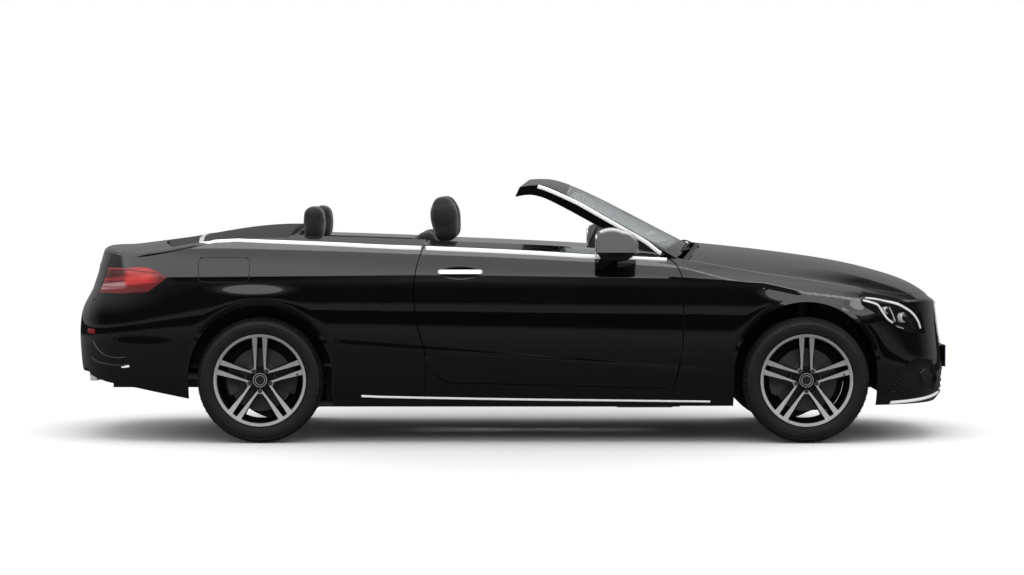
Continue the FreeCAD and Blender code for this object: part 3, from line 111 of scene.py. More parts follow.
def new_group(name, inputs, outputs):
    """Node group with named float inputs and named outputs, and its two ends ready to link."""
    group = bpy.data.node_groups.new(name, "ShaderNodeTree")
    for label, default in inputs:
        socket = group.interface.new_socket(label, in_out="INPUT", socket_type="NodeSocketFloat")
        socket.default_value = default
    for label, kind in outputs:
        group.interface.new_socket(label, in_out="OUTPUT", socket_type=kind)
    given = group.nodes.new("NodeGroupInput").outputs
    return group, given, group.nodes.new("NodeGroupOutput").inputs


def node(tree, kind, values=(), **settings_):
    """Node with its settings; each input takes a plain value or another node's output."""
    made = tree.nodes.new("ShaderNode" + kind)
    for key, value in settings_.items():
        setattr(made, key, value)
    for key, value in dict(values).items():
        if isinstance(value, bpy.types.NodeSocket):
            wire(tree, value, made.inputs[key])
        else:
            made.inputs[key].default_value = value
    return made


def wire(tree, source, target):
    tree.links.new(source, target)


def object_place(tree):
    return node(tree, "TexCoord").outputs["Object"]


def parted(tree, source):
    """X, Y and Z of a vector."""
    return node(tree, "SeparateXYZ", {0: source}).outputs


def maths(tree, operation, *values):
    return node(tree, "Math", dict(enumerate(values)), operation=operation).outputs[0]


def times(tree, first, second):
    return maths(tree, "MULTIPLY", first, second)


def minus(tree, first, second):
    return maths(tree, "SUBTRACT", first, second)


def hypotenuse(tree, *values):
    return maths(tree, "SQRT", maths(tree, "ADD", *(times(tree, value, value) for value in values)))


def vector(tree, operation, *values):
    """Vector sum, product or the like of outputs or plain numbers."""
    made = node(tree, "VectorMath", dict(enumerate(values)), operation=operation)
    return made.outputs["Value" if operation in ("LENGTH", "DOT_PRODUCT") else "Vector"]


def scaled(tree, source, factor):
    made = node(tree, "VectorMath", {0: source, "Scale": factor}, operation="SCALE")
    return made.outputs["Vector"]


def span(tree, value, low, high, start=0.0, end=1.0, **settings_):
    """Value carried from one range to another."""
    made = node(tree, "MapRange", {"Value": value, "From Min": low, "From Max": high,
                                             "To Min": start, "To Max": end}, **settings_)
    return made.outputs["Result"]


def blend(tree, factor, first, second):
    """Mix of two colours, each an output or a plain colour."""
    return node(tree, "Mix", {"Factor": factor, "A": first, "B": second},
                data_type="RGBA").outputs["Result"]


def bumped(tree, height, distance, strength):
    return node(tree, "Bump", {"Height": height, "Distance": distance,
                                         "Strength": strength}).outputs["Normal"]


def graded(tree, value, low, high, stops):
    """Colour or grey picked from stops by a value between two limits."""
    ramp = node(tree, "ValToRGB", {"Fac": span(tree, value, low, high)})
    stops = [(at, (*shade, 1) if isinstance(shade, tuple) else (shade, shade, shade, 1))
             for at, shade in stops]
    elements = ramp.color_ramp.elements
    for element, (at, shade) in zip((elements[0], elements[-1]), (stops[0], stops[-1])):
        element.position, element.color = at, shade
    for at, shade in stops[1:-1]:
        elements.new(at).color = shade
    return ramp.outputs["Color"]


# ---- shader groups ----
def grain_group():
    """Fine bumps of moulded plastic, leather or cast metal."""
    group, given, out = new_group("Grain", (("Scale", 400), ("Depth", 0.0002)), MASK_AND_NORMAL)
    texture = {"Vector": object_place(group), "Scale": given["Scale"]}
    cells = node(group, "TexVoronoi", texture, feature="SMOOTH_F1")
    cloud = node(group, "TexNoise", {**texture, "Detail": 6})
    mask = times(group, cells.outputs["Distance"], cloud.outputs["Fac"])
    wire(group, mask, out["Mask"])
    wire(group, bumped(group, mask, given["Depth"], 0.6), out["Normal"])
    return group


def weave_group():
    """Crossing threads of a woven cloth."""
    group, given, out = new_group("Weave", (("Threads", 700), ("Depth", 0.0003)), MASK_AND_NORMAL)
    point = parted(group, object_place(group))
    waves = []
    for operation, axis in (("ADD", "X"), ("SUBTRACT", "Y")):
        lean = maths(group, operation, point[axis], point["Z"])
        waves.append(maths(group, "SINE", times(group, lean, given["Threads"])))
    mask = maths(group, "MULTIPLY_ADD", times(group, *waves), 0.5, 0.5)
    wire(group, mask, out["Mask"])
    wire(group, bumped(group, mask, given["Depth"], 0.7), out["Normal"])
    return group


def bloom_group():
    """Slow uneven mask for faint film, dust and polishing marks."""
    group, given, out = new_group("Bloom", (("Scale", 6), ("Low", 0.0), ("High", 1.0)),
                                  (("Value", "NodeSocketFloat"),))
    cloud = node(group, "TexNoise", {"Vector": object_place(group), "Detail": 8,
                                               "Scale": given["Scale"], "Roughness": 0.6})
    wire(group, span(group, cloud.outputs["Fac"], 0.3, 0.7, given["Low"], given["High"]),
         out["Value"])
    return group


# Soft swellings and hollows of the body: centre x, z, half length, half height, slope, how far the
# normal lifts, and the share of the size that is level.
SWELLS = ((-1.351, 0.798, 0.290, 0.044, 0.0, 0.26, 0.2), (1.62, 0.748, 0.40, 0.075, -0.10, 0.30, 0.6),
          (1.80, 0.705, 0.16, 0.10, 0.0, 0.26, 0.3), (-0.276, 0.890, 0.125, 0.036, 0.0, -0.35, 0.7),
          (-1.78, 1.003, 0.23, 0.013, 0.197, -0.5, 0.5),
          (-1.93, 0.533, 0.20, 0.030, 0.0, 0.12, 0.6))
# Creases: height by station, half length faded at the ends, and the normal's lift across them.
CREASES = (
    (((-1.85, 0.862), (-0.508, 0.875), (-0.069, 0.872), (0.87, 0.857), (1.12, 0.848)),
     ((0, 0.5), (0.45, 0.5), (0.53, 0.4625), (0.61, 0.425), (0.62, 0.425), (0.632, 0.5125),
      (0.80, 0.505), (1, 0.5))),
    (((0.80, 0.858), (1.302, 0.825), (1.50, 0.783)),
     ((0, 0.5), (0.50, 0.5), (0.56, 0.22), (0.60, 0.06), (0.66, 0.06), (0.70, 0.5), (1, 0.5))),
    (((-0.96, 0.538), (1.12, 0.379)), ((0, 0.5), (0.34, 0.5), (0.44, 0.49), (0.55, 0.54),
                                       (0.625, 0.55), (0.67, 0.54), (0.70, 0.5), (1, 0.5))))
CREASE_BELOW, CREASE_ABOVE = -0.10, 0.06
CREASE_ENDS = ((0, 0.0), (0.04, 1.0), (0.94, 1.0), (1, 0.0))
# Wheel arches: axle, height of the arch's centre; lips: radii and the normal's lean between them.
ARCH_CENTRES = ((FRONT_AXLE, 0.360), (REAR_AXLE, 0.342))
LIP_INNER, LIP_OUTER = 0.370, 0.440
LIP_LEAN = ((0, 0.5), (0.10, 0.65), (0.34, 0.65), (0.42, 0.38), (0.58, 0.47), (1, 0.5))


def shape_group():
    """Soft swellings, creases and arch lips of the body sides, as a turned normal."""
    group, _, out = new_group("Shape", (), (("Normal", "NodeSocketVector"),))
    place = object_place(group)
    facing = node(group, "NewGeometry").outputs["Normal"]
    point = parted(group, place)
    lifts = []
    for cx, cz, half_x, half_z, slope, lift, core in SWELLS:
        gap = vector(group, "SUBTRACT", place, (cx, 0, cz))
        reach = hypotenuse(
            group, vector(group, "DOT_PRODUCT", gap, (1 / half_x, 0, 0)),
            vector(group, "DOT_PRODUCT", gap, (-slope / half_z, 0, 1 / half_z)))
        lifts.append(span(group, reach, core, 1.0, lift, 0.0, interpolation_type="SMOOTHSTEP"))
    for line, stops in CREASES:
        first, last = line[0][0], line[-1][0]
        share = [((x - first) / (last - first), z) for x, z in line]
        height = minus(group, point["Z"], graded(group, point["X"], first, last, share))
        lift = graded(group, height, CREASE_BELOW, CREASE_ABOVE, stops)
        lifts.append(times(group, maths(group, "MULTIPLY_ADD", lift, 2.4, -1.2),
                           graded(group, point["X"], first, last, CREASE_ENDS)))
    total = lifts[0]
    for lift in lifts[1:]:
        total = maths(group, "ADD", total, lift)
    turn = node(group, "CombineXYZ", {"Z": total}).outputs[0]
    for axle, middle in ARCH_CENTRES:
        gap = vector(group, "MULTIPLY", vector(group, "SUBTRACT", place, (axle, 0, middle)),
                     (1, 0, 1))
        lean = graded(group, vector(group, "LENGTH", gap), LIP_INNER, LIP_OUTER, LIP_LEAN)
        push = scaled(group, vector(group, "NORMALIZE", gap),
                      maths(group, "MULTIPLY_ADD", lean, 0.7, -0.35))
        turn = vector(group, "ADD", turn, push)
    sideways = span(group, maths(group, "ABSOLUTE", parted(group, facing)["Y"]), 0.2, 0.45)
    turned = vector(group, "ADD", facing, scaled(group, turn, sideways))
    wire(group, vector(group, "NORMALIZE", turned), out["Normal"])
    return group


GROUPS = {}


def use_group(tree, name, values=()):
    return node(tree, "Group", values, node_tree=GROUPS[name]).outputs


# ---- materials ----
def new_material(name, color, roughness, metallic=0.0, **sockets):
    material = bpy.data.materials.new(name)
    material.use_nodes = True
    shader = material.node_tree.nodes["Principled BSDF"]
    shader.inputs["Base Color"].default_value = color if len(color) == 4 else (*color, 1)
    shader.inputs["Roughness"].default_value = roughness
    shader.inputs["Metallic"].default_value = metallic
    for key, value in sockets.items():
        shader.inputs[key.replace("_", " ")].default_value = value
    return material, material.node_tree, shader.inputs


def bloom(tree, scale, low=0.0, high=1.0):
    return use_group(tree, "Bloom", {"Scale": scale, "Low": low, "High": high})["Value"]


def uneven(tree, shader, scale, low, high):
    wire(tree, bloom(tree, scale, low, high), shader["Roughness"])


def grained(tree, shader, scale, depth):
    """Bumps the surface with a grain and gives the grain's mask."""
    grain = use_group(tree, "Grain", {"Scale": scale, "Depth": depth})
    wire(tree, grain["Normal"], shader["Normal"])
    return grain["Mask"]


def two_tone(tree, shader, mask, low, high):
    wire(tree, blend(tree, mask, (*low, 1), (*high, 1)), shader["Base Color"])


def shaded(color, share):
    return tuple(c * share for c in tuple(color)[:3])


MATERIALS = {}


def make_paint(name, shaped):
    color = tuple(settings().paint)
    material, tree, shader = new_material(name, color, 0.35, Coat_Weight=1.0, Coat_Roughness=0.012,
                                          Coat_IOR=1.8, Specular_IOR_Level=0.05)
    two_tone(tree, shader, bloom(tree, 3), color[:3], shaded(color, 1.6))
    flake = node(tree, "TexNoise", {"Vector": object_place(tree), "Scale": 900.0,
                                              "Detail": 2.0}).outputs["Fac"]
    wire(tree, span(tree, flake, 0, 1, 0.3, 0.42), shader["Roughness"])
    if shaped:
        shape = use_group(tree, "Shape")["Normal"]
        for socket in ("Normal", "Coat Normal"):
            wire(tree, shape, shader[socket])
    return material


def make_plastic(name, color, roughness, scale=700.0, depth=0.00015):
    material, tree, shader = new_material(name, color, roughness)
    two_tone(tree, shader, grained(tree, shader, scale, depth), shaded(color, 0.8),
             shaded(color, 1.5))
    return material


def make_metal(name, color, roughness, spread=0.04, scale=30.0, metallic=1.0):
    """Metal; a bright plated finish keeps part of its own white, as thin chrome on plastic does."""
    material, tree, shader = new_material(name, color, roughness, metallic)
    uneven(tree, shader, scale, roughness, roughness + spread)
    return material


def make_gloss(name, color, roughness=0.06):
    material, tree, shader = new_material(name, color, roughness, Coat_Weight=0.6,
                                          Coat_Roughness=0.03)
    uneven(tree, shader, 40.0, roughness, roughness + 0.06)
    return material


def make_glass():
    material, tree, shader = new_material("screen_glass", (0.74, 0.79, 0.79), 0.0, IOR=1.45,
                                          Transmission_Weight=1.0)
    uneven(tree, shader, 2.0, 0.0, 0.001)
    return material


def make_lens():
    """Clear lamp cover that lets lamplight and shadows through."""
    material, tree, shader = new_material("lamp_lens", (0.02, 0.02, 0.021), 0.03, Alpha=0.16)
    uneven(tree, shader, 12.0, 0.02, 0.05)
    return material


def make_rubber():
    material, tree, shader = new_material("tyre_rubber", (0.012, 0.012, 0.0125), 0.62)
    two_tone(tree, shader, bloom(tree, 9.0), (0.0035, 0.0035, 0.0038), (0.008, 0.008, 0.0085))
    uneven(tree, shader, 20.0, 0.55, 0.72)
    grained(tree, shader, 900.0, 0.00012)
    return material


def make_rim():
    """Machined bars and lip on gloss-black pockets, drawn round each axle in Object coordinates. The
    silver has painted shade: darker towards the top of the wheel, lighter towards the bottom.
    """
    material, tree, shader = new_material("rim_two_tone", (0.02, 0.02, 0.02), 0.3)
    coordinates = node(tree, "TexCoord").outputs
    facing = parted(tree, coordinates["Normal"])
    point = parted(tree, coordinates["Object"])
    axle = span(tree, point["X"], 0.1, 0.101, REAR_AXLE, FRONT_AXLE)
    dx = minus(tree, point["X"], axle)
    dz = minus(tree, point["Z"], TYRE_RADIUS)
    reach = hypotenuse(tree, dx, dz)
    turn = maths(tree, "PINGPONG", maths(tree, "ARCTAN2", dx, dz), math.pi / 5)
    across = times(tree, reach, maths(tree, "SINE", turn))
    along = times(tree, reach, maths(tree, "COSINE", turn))
    inner = span(tree, reach, 0.058, 0.231, 0.0208, 0.0122)
    outer = span(tree, reach, 0.110, 0.231, 0.0315, 0.0412)
    bar = times(tree,
                span(tree, minus(tree, across, inner), 0, 0.0008),
                span(tree, minus(tree, outer, across), 0, 0.0008))
    bar = times(tree, bar, span(tree, reach, 0.057, 0.059))
    bolt = hypotenuse(tree, minus(tree, along, 0.0475),
                      minus(tree, across, 0.0345))
    boss = span(tree, bolt, 0.0138, 0.0146, 1.0, 0.0)
    flat = maths(tree, "ABSOLUTE", facing["Y"])
    proud = span(tree, maths(tree, "ABSOLUTE", point["Y"]), 0.860, 0.864)
    face = times(tree, maths(tree, "MAXIMUM", bar, boss),
                 span(tree, flat, 0.955, 0.975))
    lip = times(tree, span(tree, reach, 0.2235, 0.2245), span(tree, flat, 0.3, 0.4))
    mask = times(tree, maths(tree, "MAXIMUM", face, lip), proud)
    rim = settings().rim
    # Painted shade: the machined silver is a shaded copy at the top of the wheel and a lit copy at
    # the bottom.
    silver = blend(tree, span(tree, dz, 0.17, -0.12), (*shaded(rim, 0.55), 1),
                   (*shaded(rim, 1.15), 1))
    wire(tree, blend(tree, mask, (0.005, 0.005, 0.0055, 1), silver), shader["Base Color"])
    wire(tree, span(tree, mask, 0, 1, 0.12, 0.3), shader["Roughness"])
    wire(tree, times(tree, mask, 0.45), shader["Metallic"])
    grained(tree, shader, 1500.0, 0.00003)
    return material


def make_cloth(name, color, threads, depth, roughness=0.85, sheen=0.25):
    material, tree, shader = new_material(name, color, roughness, Sheen_Weight=sheen,
                                          Sheen_Roughness=0.4)
    weave = use_group(tree, "Weave", {"Threads": threads, "Depth": depth})
    two_tone(tree, shader, weave["Mask"], shaded(color, 0.55), shaded(color, 1.5))
    wire(tree, weave["Normal"], shader["Normal"])
    return material


def make_leather():
    color, roughness = (0.008, 0.008, 0.0085), 0.5
    material, tree, shader = new_material("leather_black", color, roughness, Sheen_Weight=0.05)
    two_tone(tree, shader, grained(tree, shader, 320.0, 0.0004), shaded(color, 0.7),
             shaded(color, 1.4))
    uneven(tree, shader, 14.0, roughness - 0.08, roughness + 0.08)
    return material


def make_mesh_screen():
    """Black lattice of a ventilation mesh, drawn by crossing waves, with painted shade in the gaps
    between the bars.
    """
    pitch = 0.022
    material, tree, shader = new_material("intake_mesh", (0.01, 0.01, 0.01), 0.35)
    point = parted(tree, object_place(tree))
    lines = []
    for operation in ("ADD", "SUBTRACT"):
        lean = maths(tree, operation, point["Y"], point["Z"])
        wave = maths(tree, "SINE", times(tree, lean, math.pi / pitch))
        lines.append(maths(tree, "ABSOLUTE", wave))
    bars = span(tree, maths(tree, "MINIMUM", *lines), 0.25, 0.45, 1, 0)
    # Painted shade: the gaps between the bars are darker than the bars, as the shade in the openings.
    two_tone(tree, shader, bars, (0.0004, 0.0004, 0.0004), (0.010, 0.010, 0.0105))
    wire(tree, bumped(tree, bars, 0.004, 1.0), shader["Normal"])
    return material


# Tail lens: height of its lower and upper edge, and its colours between them, behind and ahead.
TAIL_LOW, TAIL_HIGH = 0.985, 1.125
TAIL_REAR = ((0.0, (0.10, 0.001, 0.003)), (0.14, (0.16, 0.003, 0.006)), (0.20, (0.40, 0.20, 0.21)),
             (0.36, (0.42, 0.22, 0.23)), (0.41, (0.10, 0.002, 0.003)), (0.56, (0.30, 0.02, 0.02)),
             (0.60, (0.06, 0.001, 0.002)), (0.84, (0.07, 0.001, 0.002)),
             (0.92, (0.30, 0.05, 0.05)), (1.0, (0.10, 0.01, 0.01)))
TAIL_FORE = ((0.0, (0.10, 0.001, 0.003)), (0.22, (0.16, 0.003, 0.005)), (0.30, (0.50, 0.02, 0.018)),
             (0.52, (0.62, 0.05, 0.04)), (0.60, (0.42, 0.012, 0.012)), (0.80, (0.50, 0.03, 0.026)),
             (0.88, (0.22, 0.03, 0.03)), (1.0, (0.16, 0.03, 0.03)))


def make_tail_lens():
    """Red lens with a paler band and dark lower edge."""
    material, tree, shader = new_material("tail_lens", (0.4, 0.004, 0.008), 0.08, Coat_Weight=1.0,
                                          Coat_Roughness=0.01, Transmission_Weight=0.15)
    point = parted(tree, object_place(tree))
    ribs = maths(tree, "SINE", times(tree, point["Z"], 900.0))
    wire(tree, bumped(tree, ribs, 0.0006, 0.5), shader["Normal"])
    level = minus(tree, point["Z"], times(tree, point["X"], 0.10))
    rear, fore = [graded(tree, level, TAIL_LOW, TAIL_HIGH, stops)
                  for stops in (TAIL_REAR, TAIL_FORE)]
    tip = blend(tree, graded(tree, point["X"], -1.90, -1.84, FADE), fore, (0.13, 0.004, 0.006, 1))
    wire(tree, blend(tree, graded(tree, point["X"], -2.045, -2.015, FADE), rear, tip),
         shader["Base Color"])
    return material


def make_mirror_shell():
    """Silver cap over a gloss-black lower shell and foot."""
    material, tree, shader = new_material("mirror_shell", (0.01, 0.01, 0.01), 0.12,
                                          Coat_Weight=0.7, Coat_Roughness=0.03)
    cap = span(tree, parted(tree, object_place(tree))["Z"], 0.994, 0.996)
    two_tone(tree, shader, cap, (0.002, 0.002, 0.0023), (0.36, 0.36, 0.37))
    wire(tree, span(tree, cap, 0, 1, 0.1, 0.32), shader["Roughness"])
    wire(tree, times(tree, cap, 0.75), shader["Metallic"])
    return material


def make_materials():
    for name, make in (("Grain", grain_group), ("Weave", weave_group), ("Bloom", bloom_group),
                       ("Shape", shape_group)):
        GROUPS[name] = make()
    MATERIALS.update(
        paint=make_paint("paint_gloss", True),
        paint_plain=make_paint("paint_plain", False),
        chrome=make_metal("chrome_bright", (0.85, 0.85, 0.87), 0.06, 0.04, 30.0, 0.45),
        bright=make_metal("bright_strip", (0.92, 0.92, 0.93), 0.12, 0.05, 30.0, 0.15),
        satin=make_metal("satin_silver", (0.5, 0.5, 0.51), 0.26, 0.06, 30.0, 0.5),
        steel=make_metal("steel_brushed", (0.28, 0.28, 0.29), 0.3, 0.2, 60.0),
        cast=make_plastic("cast_iron", (0.022, 0.0215, 0.021), 0.6, 260.0, 0.0006),
        alloy=make_metal("cast_alloy", (0.25, 0.25, 0.26), 0.42, 0.15, 120.0),
        gloss=make_gloss("gloss_black", (0.004, 0.004, 0.0045)),
        trim=make_plastic("trim_black", (0.006, 0.006, 0.0063), 0.5),
        cover=make_plastic("cover_black", (0.0055, 0.0055, 0.006), 0.55, 900.0, 0.0004),
        cap=make_gloss("cap_black", (0.012, 0.012, 0.0125), 0.15),
        cabin=make_plastic("cabin_grain", (0.008, 0.008, 0.0085), 0.55, 420.0, 0.0003),
        structure=make_plastic("body_inner", (0.005, 0.005, 0.0053), 0.45, 90.0, 0.0002),
        rubber=make_rubber(),
        rim=make_rim(),
        glass=make_glass(),
        lens=make_lens(),
        tail=make_tail_lens(),
        mirror=make_metal("mirror_face", (0.9, 0.9, 0.92), 0.01, 0.01),
        mirror_shell=make_mirror_shell(),
        seat=make_cloth("seat_cloth", tuple(settings().fabric), 3600.0, 0.00025),
        roof=make_cloth("roof_cloth", (0.008, 0.008, 0.0085), 2600.0, 0.0004, 0.9, 0.15),
        carpet=make_cloth("carpet", (0.012, 0.012, 0.012), 1500.0, 0.001, 0.95, 0.3),
        leather=make_leather(),
        screen=make_mesh_screen(),
        white=make_gloss("plate_white", (0.7, 0.7, 0.7), 0.2),
        red=make_gloss("red_lens", (0.16, 0.003, 0.005), 0.08),
        navy=make_gloss("plate_edge", (0.004, 0.005, 0.045), 0.3),
        blue=make_gloss("blue_band", (0.01, 0.02, 0.25), 0.3),
        lit=make_gloss("lamp_reflector", (0.85, 0.85, 0.88), 0.05),
        display=make_gloss("display_glass", (0.003, 0.003, 0.004), 0.03),
    )


# ---- mesh helpers ----
# Angle above which an edge stays sharp: on ordinary pieces and on the crowns of bright strips.
SHARP_ANGLE, STRIP_ANGLE = 35.0, 50.0


def mesh_from(bm, name):
    mesh = bpy.data.meshes.new(name)
    bm.to_mesh(mesh)
    bm.free()
    return mesh


def linked(name, data):
    obj = bpy.data.objects.new(name, data)
    bpy.context.collection.objects.link(obj)
    return obj


def modified(obj, kind, **values):
    made = obj.modifiers.new(kind, kind)
    for key, value in values.items():
        setattr(made, key, value)
    return made


def piece(name, mesh, material, body="body", smooth=True, angle=SHARP_ANGLE):
    """Turns a bmesh or mesh into a finished piece that rides on a body."""
    if isinstance(mesh, bmesh.types.BMesh):
        bmesh.ops.remove_doubles(mesh, verts=mesh.verts, dist=1e-6)
        bmesh.ops.recalc_face_normals(mesh, faces=mesh.faces)
        mesh = mesh_from(mesh, name)
    for face in mesh.polygons:
        face.use_smooth = smooth
    obj = linked(name, mesh)
    mesh.materials.clear()
    mesh.materials.append(MATERIALS[material])
    if smooth and angle:
        mesh.set_sharp_from_angle(angle=math.radians(angle))
    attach(obj, body)
    return obj


def rounded(bm, edges, bevel, segments):
    bmesh.ops.bevel(bm, geom=list(edges), offset=bevel, segments=segments, profile=0.5,
                    affect="EDGES", material=-1)


def edges_of(verts):
    return {edge for vert in verts for edge in vert.link_edges}


def block(bm, low, high, bevel=0.0, segments=3, matrix=Matrix()):
    """Box between two corners, with rounded edges, set in place by a matrix."""
    size = Vector(high) - Vector(low)
    centre = (Vector(high) + Vector(low)) / 2
    made = bmesh.ops.create_cube(bm, size=1.0, matrix=matrix @ Matrix.Translation(centre) @
                                 Matrix.Diagonal((*size, 1)))
    if bevel:
        rounded(bm, edges_of(made["verts"]), bevel, segments)


def pad_block(bm, low, high, matrix, bevel):
    block(bm, low, high, bevel, 4, matrix)


def tube(bm, radius, start, end, segments=32, radius_end=None):
    """Capped cylinder or cone between two points."""
    start, end = Vector(start), Vector(end)
    axis = end - start
    turn = axis.to_track_quat("Z", "Y").to_matrix().to_4x4()
    bmesh.ops.create_cone(bm, cap_ends=True, segments=segments, radius1=radius,
                          radius2=radius if radius_end is None else radius_end,
                          depth=axis.length,
                          matrix=Matrix.Translation((start + end) / 2) @ turn)


def ball(bm, centre, size, segments=24):
    bmesh.ops.create_uvsphere(bm, u_segments=segments, v_segments=segments // 2, radius=1.0,
                              matrix=Matrix.Translation(centre) @ Matrix.Diagonal((*size, 1)))


def outline_plate(bm, points, axis, start, depth, bevel, segments):
    """Flat outline pushed along X or Y. Points are the other two coordinates, in order."""
    place = {"X": lambda a, b: (start, a, b), "Y": lambda a, b: (a, start, b)}[axis]
    verts = [bm.verts.new(place(a, b)) for a, b in points]
    made = bmesh.ops.extrude_face_region(bm, geom=[bm.faces.new(verts)])
    far = [item for item in made["geom"] if isinstance(item, bmesh.types.BMVert)]
    push = Vector([depth if name == axis else 0 for name in "XYZ"])
    bmesh.ops.translate(bm, verts=far, vec=push)
    rounded(bm, edges_of(verts + far), bevel, segments)


def spun(bm, profile, axle_x, centre_y, side, steps):
    """Closed profile of (y outwards, radius) turned about a wheel's axle."""
    verts = [bm.verts.new((axle_x, centre_y + y * side, TYRE_RADIUS + r)) for y, r in profile]
    edges = [bm.edges.new(pair) for pair in zip(verts, verts[1:] + verts[:1])]
    bmesh.ops.spin(bm, geom=verts + edges, cent=(axle_x, centre_y, TYRE_RADIUS),
                   axis=(0, 1, 0), angle=math.tau, steps=steps, use_merge=True)


def rounded_ring(half_a, half_b, power, count):
    """Points round a rectangle with round corners; a power of 1 gives an ellipse."""
    ring = []
    for turn in range(count):
        angle = math.tau * turn / count
        c, s = math.cos(angle), math.sin(angle)
        ring.append((half_a * math.copysign(abs(c) ** power, c),
                     half_b * math.copysign(abs(s) ** power, s)))
    return ring


def sweep(bm, path, normals, section, closed=False):
    """Carries a section of (across, outwards) along a path, with its outward side on the normals."""
    frames = []
    count = len(path)
    for i in range(count):
        before = path[i - 1] if i or closed else path[0]
        after = path[(i + 1) % count] if i < count - 1 or closed else path[-1]
        along = (after - before).normalized()
        out = (normals[i] - along * normals[i].dot(along)).normalized()
        side = along.cross(out)
        frames.append(Matrix.Translation(path[i]) @ Matrix(
            (side, out, along)).transposed().to_4x4())
    first = [bm.verts.new(frames[0] @ Vector((u, v, 0))) for u, v in section]
    ring = [bm.edges.new(pair) for pair in zip(first, first[1:] + first[:1])]
    start = list(ring)
    for here, there in zip(frames, frames[1:]):
        made = bmesh.ops.extrude_edge_only(bm, edges=ring)["geom"]
        moved = [item for item in made if isinstance(item, bmesh.types.BMVert)]
        ring = [item for item in made if isinstance(item, bmesh.types.BMEdge)
                and item.verts[0] in moved and item.verts[1] in moved]
        bmesh.ops.transform(bm, matrix=there @ here.inverted(), verts=moved)
    if closed:
        bmesh.ops.bridge_loops(bm, edges=ring + start)
    else:
        bmesh.ops.holes_fill(bm, edges=ring + start, sides=0)


def strip_section(width, height, sink=0.003):
    """Section of a bright strip: a low crown that sinks a little into what it sits on."""
    w = width / 2
    return ((-w, -sink), (-w, height * 0.35), (-w * 0.75, height * 0.85), (0, height),
            (w * 0.75, height * 0.85), (w, height * 0.35), (w, -sink))


def smooth_path(points, steps):
    """Even stations on a smooth curve through a few points."""
    points = [Vector(p) for p in points]
    out = []
    ends = [points[0] * 2 - points[1]] + points + [points[-1] * 2 - points[-2]]
    for i in range(1, len(ends) - 2):
        a, b, c, d = ends[i - 1:i + 3]
        for k in range(steps):
            t = k / steps
            out.append(0.5 * ((2 * b) + (c - a) * t + (2 * a - 5 * b + 4 * c - d) * t * t
                              + (3 * b - a - 3 * c + d) * t ** 3))
    out.append(points[-1])
    return out


# ---- body form ----
# Plan outline at each height: rear height, front height, half width, nose, tail.
SIDE_ROWS = (
    (190, 190, 820, 2290, -2260), (235, 232, 862, 2325, -2300), (330, 300, 886, 2334, -2330),
    (470, 385, 897, 2328, -2341), (520, 430, 903, 2322, -2342), (660, 590, 905, 2300, -2336),
    (770, 740, 903, 2285, -2270), (845, 825, 896, 2270, -2248), (880, 860, 888, 2262, -2240),
    (970, 920, 848, 2240, -2215), (1045, 980, 806, 2200, -2190), (1120, 1060, 740, 2100, -2140),
    (1250, 1250, 600, 1950, -2000),
)
END_TURNS = (0, 9, 18, 27, 36, 45, 54, 62, 69, 75, 80, 84, 87, 89)
# Upper surface: station, height on the centreline, fall by 750 mm out.
TOP_STATIONS = (
    (2500, 400, 90), (2400, 560, 90), (2330, 650, 95), (2282, 712, 100), (2242, 755, 105),
    (2200, 792, 110), (2140, 826, 115), (2070, 855, 118), (1940, 893, 120), (1800, 928, 120),
    (1600, 962, 118), (1320, 998, 115), (1100, 1021, 105), (900, 1039, 85), (500, 1060, 62),
    (0, 1083, 60), (-500, 1105, 62), (-900, 1125, 70), (-1200, 1138, 76), (-1400, 1122, 58),
    (-1580, 1092, 36), (-1730, 1064, 40), (-1860, 1048, 50), (-2000, 1030, 55),
    (-2090, 1019, 50), (-2160, 1020, 45), (-2230, 1012, 42), (-2300, 1000, 40), (-2400, 990, 40),
)
TOP_OFFSETS = (1050, 900, 750, 550, 300)


def spline_sheet(rows, steps):
    """Mesh of the uniform cubic spline surface over rows of poles, in millimetres."""
    net = np.array(rows, float)
    net = np.concatenate([2 * net[:1] - net[1:2], net, 2 * net[-1:] - net[-2:-1]])
    spans_u, spans_v = net.shape[0] - 3, net.shape[1] - 3
    bm = bmesh.new()
    bmesh.ops.create_grid(bm, x_segments=spans_u * steps, y_segments=spans_v * steps, size=0.5)
    mesh = bpy.data.meshes.new("sheet")
    bm.to_mesh(mesh)
    bm.free()
    flat = np.zeros(len(mesh.vertices) * 3)
    mesh.vertices.foreach_get("co", flat)
    grid = flat.reshape(-1, 3)
    found = []
    for values, spans in ((grid[:, 0], spans_u), (grid[:, 1], spans_v)):
        u = np.clip((values + 0.5) * spans, 0, spans - 1e-9)
        cell = u.astype(int)
        t = u - cell
        found.append((cell, np.stack([(1 - t) ** 3, 3 * t ** 3 - 6 * t ** 2 + 4,
                                      -3 * t ** 3 + 3 * t ** 2 + 3 * t + 1, t ** 3], 1) / 6))
    (cell_u, blend_u), (cell_v, blend_v) = found
    place = np.zeros((len(grid), 3))
    for i in range(4):
        for j in range(4):
            place += (blend_u[:, i] * blend_v[:, j])[:, None] * net[cell_u + i, cell_v + j]
    mesh.vertices.foreach_set("co", (place / 1000).ravel())
    return mesh


def end_row(row):
    z_rear, z_front, half, nose, tail = row
    plan = []
    for start, tip, square_x, square_y, turns in ((300, nose, 8.0, 2.6, END_TURNS),
                                                  (-100, tail, 9.0, 3.0, END_TURNS[::-1])):
        for turn in turns:
            angle = math.radians(turn)
            plan.append((start + (tip - start) * math.cos(angle) ** (2 / square_x),
                         half * math.sin(angle) ** (2 / square_y)))
        if start > 0:
            plan += [(x, half) for x in (600, 100, -500)]
    ring = []
    for x, y in plan:
        share = (FRONT_AXLE * 1000 - x) / 2840
        ring.append((x, -y, z_front + (z_rear - z_front) * share))
    first = (ring[1][0], -ring[1][1], ring[1][2])
    last = (ring[-2][0], -ring[-2][1], ring[-2][2])
    return [first] + ring + [last]


